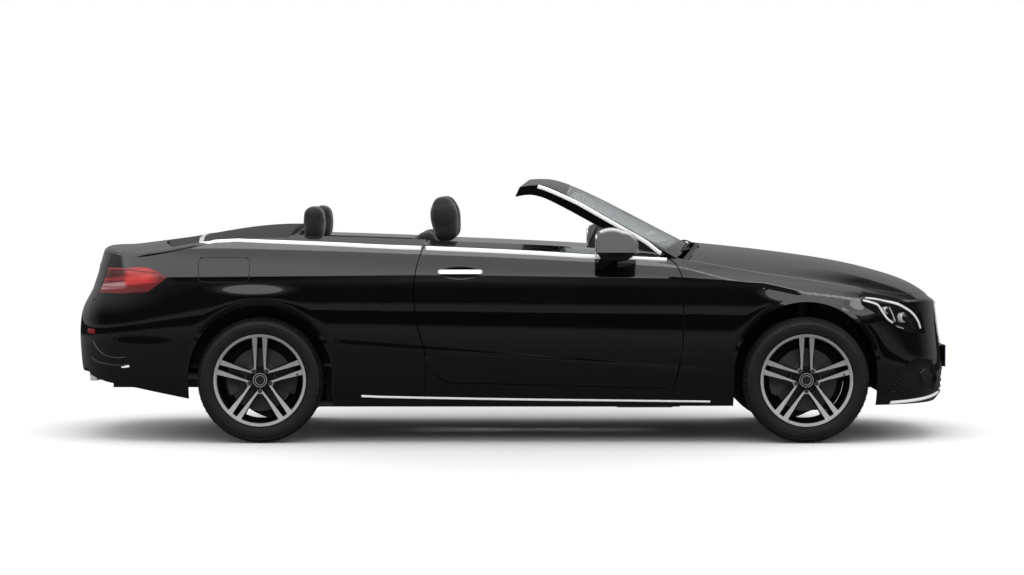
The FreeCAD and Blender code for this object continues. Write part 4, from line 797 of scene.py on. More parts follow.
def make_body_form():
    """Smooth sheets that the painted panels lie on; hidden, only their normals are used."""
    sides = [end_row(row) for row in SIDE_ROWS]
    other = [[(x, -y, z) for x, y, z in row] for row in sides]
    top = []
    for x, z, drop in TOP_STATIONS:
        offsets = [-y for y in TOP_OFFSETS] + [0] + list(reversed(TOP_OFFSETS))
        row = [(x, y, z - drop * (abs(y) / 750) ** 2.6) for y in offsets]
        row = [tuple(2 * np.array(row[0]) - np.array(row[1]))] + row + [
            tuple(2 * np.array(row[-1]) - np.array(row[-2]))]
        top.append(row)
    bm = bmesh.new()
    for rows, steps, upward in ((sides, 9, False), (other, 9, False), (top, 12, True)):
        sheet = spline_sheet(rows, steps)
        sheet_bm = bmesh.new()
        sheet_bm.from_mesh(sheet)
        bmesh.ops.recalc_face_normals(sheet_bm, faces=sheet_bm.faces)
        middle = max(sheet_bm.faces, key=lambda face: face.calc_center_median().z if upward
                     else abs(face.calc_center_median().y))
        outward = (0, 0, 1) if upward else (0, middle.calc_center_median().y, 0)
        if middle.normal.dot(Vector(outward)) < 0:
            bmesh.ops.reverse_faces(sheet_bm, faces=sheet_bm.faces)
        sheet_bm.to_mesh(sheet)
        sheet_bm.free()
        bm.from_mesh(sheet)
    form = linked("body_form", mesh_from(bm, "body_form"))
    for face in form.data.polygons:
        face.use_smooth = True
    form.hide_render = True
    for name in PAINTED + ("headlamps", "tail_lamps"):
        if not name.startswith(("mirror", "windscreen")):
            modified(NODES[name], "DATA_TRANSFER", object=form, use_loop_data=True,
                     data_types_loops={"CUSTOM_NORMAL"}, loop_mapping="POLYINTERP_NEAREST",
                     use_max_distance=True, max_distance=0.0012)


def tree_of(names):
    """Search tree over some nodes' meshes together."""
    verts, faces = [], []
    for name in names:
        mesh = NODES[name].data
        start = len(verts)
        verts += [v.co.copy() for v in mesh.vertices]
        faces += [[start + i for i in face.vertices] for face in mesh.polygons]
    return BVHTree.FromPolygons(verts, faces)


TREES = {}


def cast(origin, direction, names):
    """First point of some nodes that a ray meets, with the normal against the ray."""
    key = tuple(names)
    if key not in TREES:
        TREES[key] = tree_of(names)
    place, normal = TREES[key].ray_cast(Vector(origin), Vector(direction))[:2]
    if place is None:
        return None, None
    return place, -normal if normal.dot(Vector(direction)) > 0 else normal


def side_point(x, z, side, names):
    """Where the body's side lies at a station and a height."""
    return cast((x, 2 * side, z), (0, -side, 0), names)


def rays(starts, direction, names, lift=0.0):
    """Points and normals where rays from a row of starts meet some nodes."""
    points, normals = [], []
    for start in starts:
        place, normal = cast(start, direction, names)
        if place is not None:
            points.append(place + normal * lift)
            normals.append(normal)
    return points, normals


def side_path(line, side, names, steps, lift=0.0):
    """Points and normals on the body's side along a smooth line of (x, z) points."""
    stations = smooth_path([(x, 0, z) for x, z in line], steps)
    return rays([(p.x, 2 * side, p.z) for p in stations], (0, -side, 0), names, lift)


def node_copy(name):
    """Welded bmesh of a node's own surface."""
    bm = bmesh.new()
    bm.from_mesh(NODES[name].data)
    bmesh.ops.remove_doubles(bm, verts=bm.verts, dist=1e-5)
    return bm


def around(bm, place, low, high, bevel):
    """Block whose corners are given from a point."""
    block(bm, place + Vector(low), place + Vector(high), bevel)


# ---- stage ----
CAMERA_PLACE = (-0.007, -16.7, 1.342)
CAMERA_PITCH, CAMERA_LENS = 88.075, 107.2
# Brightness that gloss sees by height: on the near side of the room and beyond the car.
ROOM = ((0.0, 0.08), (0.012, 0.08), (0.03, 0.004), (0.16, 0.005), (0.28, 0.045), (0.41, 0.12),
        (0.455, 0.62), (0.60, 0.60), (0.72, 0.60), (0.80, 0.46), (0.9, 0.46), (1.0, 0.5))
BEYOND = ((0.0, 0.10), (0.35, 0.15), (0.7, 0.22), (1.0, 0.5))
# Brightness of the floor as gloss sees it, by distance from the car's middle.
FLOOR_SEEN = ((0.0, 0.05), (0.08, 0.06), (0.16, 0.07), (0.38, 0.10), (0.60, 0.13), (0.68, 0.12),
              (0.82, 0.002), (1.0, 0.002))
# Lights: name, place, aim, size, power.
LIGHTS = (("ceiling", (0, -1.0, 6.0), (0, 0, 0.5), (9, 5), 240),
          ("near_wall", (0, -9.0, 5.0), (0, 0, 0.6), (10, 1.6), 120),
          ("rear_wall", (-7, 5.0, 4.0), (0, 0, 0.6), (5, 2), 60),
          ("front_wall", (8, 3.0, 4.0), (0, 0, 0.6), (5, 2), 60))


def make_camera():
    data = bpy.data.cameras.new("camera")
    data.lens = CAMERA_LENS
    data.sensor_width = 36
    camera = linked("camera", data)
    camera.location = CAMERA_PLACE
    camera.rotation_euler = (math.radians(CAMERA_PITCH), 0, 0)
    bpy.context.scene.camera = camera


def make_world():
    """White surround for the eye; gloss sees a dim room with a soft ceiling."""
    world = bpy.data.worlds.new("studio")
    bpy.context.scene.world = world
    world.use_nodes = True
    tree = world.node_tree
    tree.nodes.clear()
    away = parted(tree, node(tree, "TexCoord").outputs["Generated"])
    room, beyond = [graded(tree, away["Z"], 0, 1, stops) for stops in (ROOM, BEYOND)]
    wall = times(tree,
                 graded(tree, away["X"], 0.17, 0.23, ((0, 0.0), (1, 0.97))),
                 graded(tree, away["Z"], 0.42, 0.66, ((0, 0), (0.12, 1), (0.78, 1), (1, 0))))
    far_side = times(tree, beyond, minus(tree, 1.0, wall))
    surround = blend(tree, graded(tree, away["Y"], 0.2, 0.8, FADE), room, far_side)
    ray = node(tree, "LightPath").outputs
    through = maths(tree, "MAXIMUM", ray["Is Camera Ray"], ray["Is Transmission Ray"])
    glossy = blend(tree, ray["Is Glossy Ray"], (0.95, 0.95, 0.95, 1),
                   times(tree, surround, 2.0))
    shade = node(tree, "Background", {"Color": blend(tree, through, glossy, (1, 1, 1, 1))})
    node(tree, "OutputWorld", {0: shade.outputs[0]})


def make_floor():
    bm = bmesh.new()
    bmesh.ops.create_grid(bm, x_segments=1, y_segments=1, size=60)
    floor = linked("floor", mesh_from(bm, "floor"))
    material, tree, shader = new_material("floor_white", (0.9, 0.9, 0.9), 0.9,
                                          Specular_IOR_Level=0.0)
    place = object_place(tree)
    reach = vector(tree, "LENGTH", place)
    fade = span(tree, reach, 2.6, 7.0, interpolation_type="SMOOTHSTEP")
    ray = node(tree, "LightPath").outputs
    mirrored_ray = minus(tree, ray["Is Glossy Ray"], ray["Is Transmission Ray"])
    mirrored_ray.node.use_clamp = True
    # Painted shadow and painted reflection: the floor's colour and glow are made darker in a soft
    # oval round the car.
    oval = vector(tree, "LENGTH", vector(tree, "MULTIPLY", place, (1 / 3.1, 1 / 6.4, 0)))
    painted_shadow_pool = graded(tree, oval, 0, 1, ((0.0, 0.66), (0.3, 0.70), (0.6, 0.84), (0.85, 0.96),
                                     (1.0, 1.0)))
    wire(tree, times(tree, painted_shadow_pool, 0.93), shader["Base Color"])
    glow = node(tree, "Emission", {"Color": painted_shadow_pool})
    seen = node(tree, "Emission", {"Color": graded(tree, reach, 0, 16, FLOOR_SEEN)})
    lit = tree.nodes["Principled BSDF"].outputs[0]
    join = node(tree, "MixShader", {0: fade, 1: lit, 2: glow.outputs[0]})
    final = node(tree, "MixShader", {0: mirrored_ray, 1: join.outputs[0],
                                               2: seen.outputs[0]})
    wire(tree, final.outputs[0], tree.nodes["Material Output"].inputs["Surface"])
    floor.data.materials.append(material)


def make_lights():
    for name, place, aim, size, power in LIGHTS:
        data = bpy.data.lights.new(name, "AREA")
        data.shape, data.size, data.size_y = "RECTANGLE", size[0], size[1]
        data.energy = power
        light = linked(name, data)
        light.location = place
        light.rotation_euler = (Vector(aim) - Vector(place)).to_track_quat("-Z", "Y").to_euler()
        light.visible_camera = False
        light.visible_glossy = name == "ceiling"


def make_stage():
    make_camera()
    make_world()
    make_floor()
    make_lights()
    view = bpy.context.scene.view_settings
    view.view_transform = "Standard"
    view.look = "None"


# ---- finish of the frame's own parts ----
LOOKS = (
    ("paint", tuple(name for name in PAINTED[:12] if name != "tonneau_lid")),
    ("cover", ("tonneau_lid",)), ("mirror_shell", both("mirror")),
    ("chrome", both("door_handle")), ("glass", ("windscreen_glass",)), ("lens", ("headlamps",)),
    ("tail", ("tail_lamps",)), ("trim", ("cowl",)), ("screen", ("intake_grilles",)),
    ("structure", ("front_frame", *both("inner_wing"), *both("rear_house"))),
    ("carpet", ("floor_pan", "rear_structure")), ("cabin", ("dashboard",)),
    ("leather", ("steering_wheel",)), ("rim", each_wheel("rim")),
    ("steel", (*each_wheel("brake_disc"), "exhaust")),
    ("cast", ("front_suspension", "rear_suspension", "engine")),
    ("alloy", (*both("knuckle"), "radiator")),
)


def dress_frame():
    for look, names in LOOKS:
        for name in names:
            mesh = NODES[name].data
            mesh.materials.clear()
            mesh.materials.append(MATERIALS[look])
            for face in mesh.polygons:
                face.material_index = 0


# ---- bright trim ----
BELT = ((-1.62, 1.036), (-1.56, 1.044), (-1.444, 1.050), (-1.25, 1.043), (-1.105, 1.038),
        (-0.905, 1.030), (-0.75, 1.022), (-0.59, 1.015), (-0.453, 1.011), (-0.069, 0.995),
        (0.15, 0.984), (0.387, 0.969), (0.55, 0.962), (0.713, 0.954), (0.80, 0.950))
DOOR_BELT, DECK_BELT = (-0.456, 0.800), (-0.482, -1.56)
# Where the strip leaves the belt and runs round the deck: x, y, z, and how far it has turned up.
DECK_TURN = ((-1.590, 0.785, 1.040, 35), (-1.615, 0.770, 1.041, 60), (-1.630, 0.748, 1.043, 80),
             (-1.636, 0.728, 1.044, 90))
LID_LINE = ((-1.636, 0.697), (-1.648, 0.56), (-1.656, 0.38), (-1.660, 0.20), (-1.662, 0.0))
PILLAR_LINE = ((0.130, 1.3345), (0.190, 1.314), (0.326, 1.2525), (0.444, 1.187), (0.590, 1.1035),
               (0.690, 1.046), (0.750, 1.000), (0.795, 0.968))
SILL_LINE = ((-0.79, 0.244), (-0.60, 0.238), (0.0, 0.227), (0.60, 0.220), (1.025, 0.215))
SPLITTER_LINE = ((1.975, 0.203), (2.05, 0.206), (2.13, 0.212), (2.20, 0.221), (2.255, 0.234),
                 (2.285, 0.243))


def belt_height(x):
    return float(np.interp(x, [p[0] for p in BELT], [p[1] for p in BELT]))


def belt_path(x0, x1, side, names, steps):
    """Points and normals along the belt's shoulder between two stations."""
    points, normals = [], []
    for x in np.linspace(x0, x1, steps):
        for drop in range(14):
            place = side_point(x, belt_height(x) - drop * 0.004, side, names)[0]
            if place is not None and abs(place.y) > 0.6:
                points.append(place)
                normals.append(Vector((0, side, 0.22)).normalized())
                break
    return points, normals


def leaned(x, y, z, lift, side, names):
    """Meets the body at a point from a direction between sideways and above."""
    turn = math.radians(lift)
    out = Vector((0, side * math.cos(turn), math.sin(turn)))
    target = Vector((x, side * y, z))
    return cast(target + out * 0.4, -out, names)


def strip(name, path, width, height, body="body", sink=0.003, material="bright"):
    """Bright strip along a path of points and normals."""
    bm = bmesh.new()
    sweep(bm, *path, strip_section(width, height, sink))
    return piece(name, bm, material, body, angle=STRIP_ANGLE)


def side_strip(name, line, side, node_name, width, height):
    """Bright strip through a few (x, z) points on the body's side."""
    strip(name, side_path(line, side, (node_name,), 10), width, height)


SILL_REAR, SILL_FRONT, SILL_SEAM = -0.4555, 0.818, 0.2635
DOOR_GAP = 0.0033
FLAP_X, FLAP_Z = -1.504, 0.902


def door_foot(x, door, side):
    """Height at which the door's rounded outer edge starts at a station."""
    low, high = SILL_SEAM, 0.52
    while high - low > 0.0001:
        middle = (low + high) / 2
        place = side_point(x, middle, side, (door,))[0]
        if place is None or abs(place.y) < 0.85:
            low = middle
        else:
            high = middle
    return high


def make_trim():
    high = settings().strip_height
    for label, side in SIDES:
        door, frame_ = f"door_{label}", f"side_frame_{label}"
        strip(f"belt_strip_{door}", belt_path(*DOOR_BELT, side, (door,), 50), high, 0.004, door,
              0.014)
        points, normals = belt_path(*DECK_BELT, side, (frame_,), 44)
        for x, y, z, lift in DECK_TURN:
            place, normal = leaned(x, y, z, lift, side, (frame_,))
            if place is not None:
                points.append(place)
                normals.append(normal)
        strip(f"belt_strip_deck_{label}", (points, normals), high, 0.004, sink=0.014)
        side_strip(f"pillar_strip_{label}", PILLAR_LINE, side, "windscreen_frame", 0.020, 0.004)
        side_strip(f"sill_strip_{label}", SILL_LINE, side, frame_, 0.012, 0.004)
        side_strip(f"splitter_strip_{label}", SPLITTER_LINE, side, "front_bumper", 0.022, 0.006)
    line = [(x, -y, 0) for x, y in LID_LINE] + [(x, y, 0) for x, y in LID_LINE[-2::-1]]
    path = rays([(p.x, p.y, 2) for p in smooth_path(line, 8)], DOWN, ("tonneau_lid",))
    strip("belt_strip_tonneau", path, high, 0.004, "tonneau_lid", 0.006)
    make_flap_line()


def make_sill_skins():
    """Painted skin over each sill, up to the rounded lower edge of the door."""
    form = bpy.data.objects["body_form"].data
    tree = BVHTree.FromPolygons([v.co.copy() for v in form.vertices],
                                [tuple(face.vertices) for face in form.polygons])
    for label, side in SIDES:
        bm = bmesh.new()
        bmesh.ops.create_grid(bm, x_segments=110, y_segments=8, size=0.5)
        for vert in bm.verts:
            x = SILL_REAR + (SILL_FRONT - SILL_REAR) * (vert.co.x + 0.5) ** 1.8
            top = door_foot(x + DOOR_GAP, f"door_{label}", side) - DOOR_GAP
            z = SILL_SEAM + (top - SILL_SEAM) * (vert.co.y + 0.5)
            vert.co = tree.ray_cast(Vector((x, 2 * side, z)), Vector((0, -side, 0)))[0]
        bmesh.ops.recalc_face_normals(bm, faces=bm.faces)
        if sum(face.normal.y for face in bm.faces) * side < 0:
            bmesh.ops.reverse_faces(bm, faces=bm.faces)
        bmesh.ops.solidify(bm, geom=bm.faces[:], thickness=0.002)
        piece(f"sill_skin_{label}", bm, "paint")


def make_flap_line():
    """Dark joint round the fuel flap."""
    points, normals = [], []
    for x, z in rounded_ring(0.134, 0.064, 0.3, 72):
        inner, outer = [side_point(FLAP_X + x * share, FLAP_Z + z * share, -1,
                                   ("side_frame_right",)) for share in (0.94, 1.06)]
        points.append((inner[0] + outer[0]) / 2)
        normals.append((inner[1] + outer[1]).normalized())
    bm = bmesh.new()
    sweep(bm, points, normals, ((-0.0018, -0.002), (-0.0018, 0.0003), (0.0018, 0.0003),
                                (0.0018, -0.002)), closed=True)
    piece("fuel_flap_joint", bm, "trim", smooth=False)


# ---- grille, plates ----
GRILLE = ((-0.430, 0.712), (-0.300, 0.7235), (0, 0.730), (0.300, 0.7235), (0.430, 0.712),
          (0.395, 0.570), (0.330, 0.498), (0.2, 0.489), (0, 0.485), (-0.2, 0.489), (-0.330, 0.498),
          (-0.395, 0.570))
GRILLE_MIDDLE = 0.607
GRILLE_BARS = (0.694, 0.667, 0.640, 0.613, 0.586, 0.559, 0.532, 0.507)


def grille_width(z):
    edge = ((0.485, 0.300), (0.498, 0.330), (0.570, 0.395), (0.712, 0.430))
    return float(np.interp(z, [e[0] for e in edge], [e[1] for e in edge]))


def nose_path(points, names, back):
    """Points on the nose met from ahead, moved back a little."""
    found, normals = [], []
    for place, normal in zip(*rays([(3, y, z) for y, z in points], BACKWARD, names)):
        if place.x > 2.0:
            found.append(place - Vector((back, 0, 0)))
            normals.append(normal)
    return found, normals


def make_grille():
    nose = ("grille", "front_bumper")
    backing = node_copy("grille")
    bmesh.ops.scale(backing, vec=(1, 0.985, 0.97), verts=backing.verts,
                    space=Matrix.Translation((0, 0, -GRILLE_MIDDLE)))
    bmesh.ops.translate(backing, vec=(-0.016, 0, 0), verts=backing.verts)
    plate = piece("grille_mesh", backing, "screen", smooth=False)
    bm = bmesh.new()
    for z in GRILLE_BARS:
        half = grille_width(z) - 0.012
        path = nose_path([(y, z) for y in np.linspace(-half, half, 33)], nose, 0.010)
        sweep(bm, *path, ((-0.0035, -0.010), (-0.0055, 0.002), (-0.003, 0.007), (0.003, 0.007),
                          (0.0055, 0.002), (0.0035, -0.010)))
    for y in np.linspace(-0.36, 0.36, 13):
        low = 0.499 if abs(y) < 0.3 else 0.56
        path = nose_path([(y, z) for z in np.linspace(low, 0.708, 6)], nose, 0.017)
        sweep(bm, *path, ((-0.002, -0.006), (-0.002, 0.004), (0.002, 0.004), (0.002, -0.006)))
    bars = piece("grille_bars", bm, "gloss")
    bm = bmesh.new()
    edge = [(y * 0.985, 0, GRILLE_MIDDLE + (z - GRILLE_MIDDLE) * 0.96)
            for y, z in GRILLE + GRILLE[:1]]
    path = nose_path([(p.x, p.z) for p in smooth_path(edge, 6)[:-1]], nose, 0.002)
    sweep(bm, *path, strip_section(0.013, 0.006, 0.008), closed=True)
    surround = piece("grille_surround", bm, "chrome", angle=STRIP_ANGLE)
    half = grille_width(0.66) - 0.02
    path = nose_path([(y, 0.6535) for y in np.linspace(-half, half, 33)], nose, 0.006)
    wing = strip("grille_wing", path, 0.016, 0.005, sink=0.004, material="chrome")
    for made in (plate, bars, surround, wing):
        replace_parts(made, "grille")


def make_plates():
    low, high = [cast((-3, 0, z), (1, 0, 0), ("boot_lid",))[0] for z in (0.781, 0.881)]
    lean = math.atan2(high.x - low.x, high.z - low.z)
    for name, place, turn, body in (
            ("front_plate", (2.3268, 0, 0.421), Matrix(), "body"),
            ("rear_plate", (low + high) / 2, Matrix.Rotation(lean, 4, "Y") @
             Matrix.Rotation(math.pi, 4, "Z"), "boot_lid")):
        matrix = Matrix.Translation(place) @ turn
        face, band, frame_ = bmesh.new(), bmesh.new(), bmesh.new()
        pad_block(face, (0, -0.258, -0.054), (0.004, 0.258, 0.054), matrix, 0.0012)
        pad_block(band, (0.0035, 0.214, -0.052), (0.0049, 0.255, 0.052), matrix, 0.0004)
        for low_, high_ in (((-0.262, -0.058), (0.262, -0.053)), ((-0.262, 0.053), (0.262, 0.058)),
                            ((-0.262, -0.058), (-0.257, 0.058)), ((0.257, -0.058), (0.262, 0.058))):
            pad_block(frame_, (-0.001, *low_), (0.006, *high_), matrix, 0.001)
        piece(name, face, "white", body)
        piece(f"{name}_band", band, "blue", body)
        piece(f"{name}_frame", frame_, "navy" if name == "front_plate" else "trim", body)


def make_front_details():
    bm = bmesh.new()
    for z, half in ((0.262, 0.45), (0.296, 0.45), (0.328, 0.42)):
        found, normals = nose_path([(y, z) for y in np.linspace(-half, half, 41)],
                                   ("intake_grilles", "front_bumper"), 0.001)
        found = [p for p in found if p.x < 2.34]
        sweep(bm, found, normals[:len(found)], ((-0.003, -0.003), (-0.004, 0.006), (0.004, 0.006),
                                                (0.003, -0.003)))
    piece("intake_bars", bm, "gloss")
    for label, side in SIDES:
        place, out = cast((3, side * 0.655, 0.345), BACKWARD, ("intake_grilles",))
        ring, lens = bmesh.new(), bmesh.new()
        tube(ring, 0.040, place - out * 0.004, place + out * 0.007, 40, 0.037)
        piece(f"fog_ring_{label}", ring, "gloss")
        tube(lens, 0.033, place + out * 0.006, place + out * 0.009, 40, 0.031)
        piece(f"fog_lens_{label}", lens, "display")
    bm = bmesh.new()
    place, normal = cast((3, -0.450, 0.62), BACKWARD, ("front_bumper",))
    centre = Vector((place.x - 0.012, -0.418, 0.62))
    tube(bm, 0.0192, centre - normal * 0.004, centre + normal * 0.001, 40)
    piece("tow_cover", bm, "paint_plain")


# ---- lamps ----
def sheet_strip(bm, line, side, lift, width, height, node_name):
    """Low strip through (x, z) points, lifted from a node's side."""
    path = side_path(line, side, (node_name,), 8, lift)
    if len(path[0]) > 2:
        sweep(bm, *path, strip_section(width, height, 0.001))


# Bright bands inside the lamp: points along the lamp's side, width, material.
HEAD_BANDS = (
    (((1.836, 0.762), (1.90, 0.7545), (1.99, 0.731), (2.05, 0.704), (2.10, 0.672), (2.135, 0.628),
      (2.150, 0.590)), 0.013, "lit"),
    (((1.822, 0.748), (1.872, 0.733), (1.905, 0.715), (1.930, 0.678), (1.958, 0.643),
      (1.985, 0.624)), 0.011, "lit"),
    (((1.966, 0.706), (1.985, 0.665), (1.998, 0.630)), 0.006, "chrome"),
    (((1.876, 0.666), (1.929, 0.634), (1.987, 0.611), (2.045, 0.592)), 0.006, "chrome"))
PROJECTORS = ((1.955, 0.690, 0.019), (2.052, 0.650, 0.026))


def make_headlamps():
    for label, side in SIDES:
        shell = node_copy("headlamps")
        wrong = [v for v in shell.verts if v.co.y * side < 0]
        bmesh.ops.delete(shell, geom=wrong, context="VERTS")
        bmesh.ops.scale(shell, vec=(0.97, 0.97, 0.96), verts=shell.verts,
                        space=Matrix.Translation((-1.98, -side * 0.66, -0.665)))
        bmesh.ops.translate(shell, vec=(-0.020, -side * 0.022, 0), verts=shell.verts)
        piece(f"headlamp_bucket_{label}", shell, "gloss", smooth=False)
        for name, look in (("brow", "lit"), ("edges", "chrome")):
            bm = bmesh.new()
            for line, width, material in HEAD_BANDS:
                if material == look:
                    sheet_strip(bm, line, side, -0.009, width, 0.004, "headlamps")
            piece(f"headlamp_{name}_{label}", bm, look, angle=STRIP_ANGLE)
        rings, balls = bmesh.new(), bmesh.new()
        for x, z, radius in PROJECTORS:
            place, normal = side_point(x, z, side, ("headlamps",))
            place -= normal * 0.016
            aim = (normal + Vector((0.5, 0, 0))).normalized()
            tube(rings, radius, place - aim * 0.02, place, 40)
            tube(rings, radius * 0.9, place, place + aim * 0.003, 40, radius * 0.8)
            ball(balls, place, (radius * 0.78,) * 3, 28)
        piece(f"headlamp_rings_{label}", rings, "chrome")
        piece(f"headlamp_projectors_{label}", balls, "display")


TAIL_LINES = (((-1.86, 0.884), (-2.0, 0.897), (-2.15, 0.900), (-2.26, 0.900)),
              ((-1.86, 0.826), (-2.0, 0.812), (-2.15, 0.806), (-2.26, 0.806)))


# Strips on the rear bumper: name, (x, z) points along the side, width, material.
BUMPER_STRIPS = (
    ("rear_reflector", ((-2.245, 0.574), (-2.222, 0.573), (-2.200, 0.572)), 0.024, "red"),
    ("rear_vent_top", ((-2.215, 0.520), (-2.185, 0.478), (-2.140, 0.448), (-2.080, 0.436),
                       (-2.022, 0.440)), 0.012, "gloss"),
    ("rear_vent_low", ((-2.225, 0.430), (-2.18, 0.408), (-2.10, 0.398), (-2.030, 0.398)), 0.012,
     "gloss"),
    ("rear_vent_tip", ((-2.046, 0.393), (-2.026, 0.394), (-2.005, 0.398)), 0.012, "bright"))


def make_tail_details():
    for label, side in SIDES:
        bm = bmesh.new()
        for line in TAIL_LINES:
            sheet_strip(bm, line, side, 0.0005, 0.004, 0.0015, "tail_lamps")
        piece(f"tail_lamp_lines_{label}", bm, "red")
        for name, line, width, look in BUMPER_STRIPS:
            bm = bmesh.new()
            sheet_strip(bm, line, side, 0.0, width, 0.004, "rear_bumper")
            piece(f"{name}_{label}", bm, look, angle=STRIP_ANGLE)
    for name, half, count, z, width, height, look in (
            ("boot_handle_strip", 0.30, 21, 0.915, 0.018, 0.005, "chrome"),
            ("high_stop_lamp", 0.16, 15, 0.985, 0.012, 0.006, "red")):
        path = rays([(-3, y, z) for y in np.linspace(-half, half, count)], FORWARD, ("boot_lid",))
        strip(name, path, width, height, "boot_lid", material=look)


# ---- wheels ----
# Section of the tyre's outer half from the bead to the middle of the tread: y outwards, radius.
TYRE_WALL = ((0.0995, 0.2300), (0.1030, 0.2420), (0.1060, 0.2470), (0.1085, 0.2560),
             (0.1110, 0.2700), (0.1118, 0.2730), (0.1113, 0.2760), (0.1122, 0.2900),
             (0.1108, 0.2928), (0.1070, 0.3061), (0.1075, 0.3080), (0.1020, 0.3111),
             (0.0985, 0.3111), (0.0900, 0.3111))
GROOVES = (0.058, 0.020)
GROOVE_HALF, GROOVE_DEPTH = 0.0045, 0.007
SHOULDER_BARS = 60
# Section of the calliper and of the disc's shield: y outwards, radius.
CALIPER = ((-0.040, 0.122), (-0.044, 0.150), (-0.044, 0.176), (-0.030, 0.1865), (0.028, 0.1865),
           (0.036, 0.178), (0.036, 0.150), (0.034, 0.122), (0.0195, 0.122), (0.0195, 0.1695),
           (-0.0195, 0.1695), (-0.0195, 0.122))
SHIELD = ((0.748, 0.120), (0.746, 0.2045), (0.7445, 0.2045), (0.7465, 0.120))
# Half of the turn that the calliper covers, and the part that the shield leaves open, in degrees.
CALIPER_HALF_TURN, SHIELD_GAP = 28, 48


def tyre_profile():
    """Whole ring section, from the outer bead over the tread to the inner bead and back inside."""
    tread = []
    for at in GROOVES:
        shoulder = TYRE_RADIUS - 0.0006 - (at / 0.09) ** 3 * 0.001
        foot = TYRE_RADIUS - GROOVE_DEPTH
        tread += [(at + GROOVE_HALF, shoulder), (at + GROOVE_HALF * 0.6, foot),
                  (at - GROOVE_HALF * 0.6, foot), (at - GROOVE_HALF, shoulder)]
    outer = [*TYRE_WALL, *tread]
    inside = [(-0.085, 0.2305), (-0.098, 0.262), (-0.088, 0.300), (0.0, 0.312), (0.088, 0.300),
              (0.098, 0.262), (0.085, 0.2305)]
    return outer + [(-y, r) for y, r in reversed(outer)] + inside


def make_wheels():
    for label, axle_x, side, middle in WHEELS:
        body = f"wheel_{label}"
        at = middle * side
        centre = Vector((axle_x, at, TYRE_RADIUS))

        def spot(radius, angle, out=0.0):
            """Point of the wheel: radius, angle from ahead, distance outwards."""
            return centre + Vector((radius * math.cos(angle), side * out, radius * math.sin(angle)))

        bm = bmesh.new()
        spun(bm, tyre_profile(), axle_x, at, side, 120)
        made = piece(f"tyre_{label}", bm, "rubber", body, angle=28)
        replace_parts(made, f"tyre_{label}")
        bm = bmesh.new()
        for turn in range(SHOULDER_BARS):
            angle = math.tau * turn / SHOULDER_BARS
            out, across = Vector((math.cos(angle), 0, math.sin(angle))), Vector((0, side, 0))
            turned = Matrix((out, across, out.cross(across))).transposed().to_4x4()
            bmesh.ops.create_cube(bm, size=1.0, matrix=Matrix.Translation(
                spot(0.3215, angle, 0.1045)) @ turned @ Matrix.Diagonal((0.010, 0.0075, 0.0035, 1)))
        piece(f"tyre_shoulder_{label}", bm, "rubber", body, smooth=False)
        bm = bmesh.new()
        tube(bm, 0.0375, spot(0, 0, 0.0855), spot(0, 0, 0.0910), 48)
        rounded(bm, [e for e in bm.edges if abs(e.calc_face_angle(0)) > 1], 0.0015, 3)
        tube(bm, 0.027, spot(0, 0, 0.0885), spot(0, 0, 0.0917), 48)
        piece(f"hub_cap_{label}", bm, "cap", body)
        bm = bmesh.new()
        for radius in (0.0355, 0.0245):
            spun(bm, ((0.0895, radius - 0.0016), (0.0922, radius - 0.0012),
                      (0.0922, radius + 0.0012), (0.0895, radius + 0.0016)), axle_x, at, side, 64)
        piece(f"hub_ring_{label}", bm, "satin", body)
        bolts, seats = bmesh.new(), bmesh.new()
        for turn in range(5):
            angle = math.radians(54 - turn * 72)
            foot = spot(0.056, angle, 0.056)
            tube(bolts, 0.0085, foot, spot(0.056, angle, 0.080), 6)
            tube(seats, 0.0132, foot, spot(0.056, angle, 0.0745), 24, 0.0120)
        piece(f"wheel_bolts_{label}", bolts, "gloss", body)
        piece(f"bolt_seats_{label}", seats, "satin", body)
        valve = bmesh.new()
        foot = centre + Vector((0.2045, side * 0.082, 0.030))
        tube(valve, 0.0035, foot, foot + Vector((-0.012, side * 0.026, 0)), 14)
        tube(valve, 0.0045, foot + Vector((-0.008, side * 0.018, 0)),
             foot + Vector((-0.0125, side * 0.027, 0)), 14)
        piece(f"tyre_valve_{label}", valve, "trim", body)


def make_brakes():
    """Callipers with pistons over each disc, and the discs' shields; the front ones steer with their
    knuckles.
    """
    for label, axle_x, side, middle in WHEELS:
        body = f"knuckle_{label.split('_')[1]}" if label.startswith("front") else "body"
        at = middle * side
        ring = at - side * 0.002
        bm = bmesh.new()
        start = math.radians(-CALIPER_HALF_TURN)
        verts = [bm.verts.new((axle_x - r * math.cos(start), ring + y * side,
                               TYRE_RADIUS + r * math.sin(start))) for y, r in CALIPER]
        bmesh.ops.spin(bm, geom=[bm.faces.new(verts)], cent=(axle_x, ring, TYRE_RADIUS),
                       axis=(0, 1, 0), angle=math.radians(2 * CALIPER_HALF_TURN), steps=14)
        piece(f"brake_caliper_{label}", bm, "alloy", body)
        bm = bmesh.new()
        for turn in (-14, 14):
            angle = math.radians(turn)
            x, z = axle_x - 0.150 * math.cos(angle), TYRE_RADIUS + 0.150 * math.sin(angle)
            tube(bm, 0.020, (x, ring + side * 0.030, z), (x, ring + side * 0.0395, z), 24)
        piece(f"brake_pistons_{label}", bm, "alloy", body)
        bm = bmesh.new()
        turn = math.radians(SHIELD_GAP / 2 - 90)
        verts = [bm.verts.new((axle_x + r * math.cos(turn), at - side * (middle - y),
                               TYRE_RADIUS + r * math.sin(turn))) for y, r in SHIELD]
        bmesh.ops.spin(bm, geom=[bm.faces.new(verts)], cent=(axle_x, at, TYRE_RADIUS),
                       axis=(0, -1, 0), angle=math.radians(360 - SHIELD_GAP), steps=60)
        piece(f"brake_shield_{label}", bm, "structure", body)


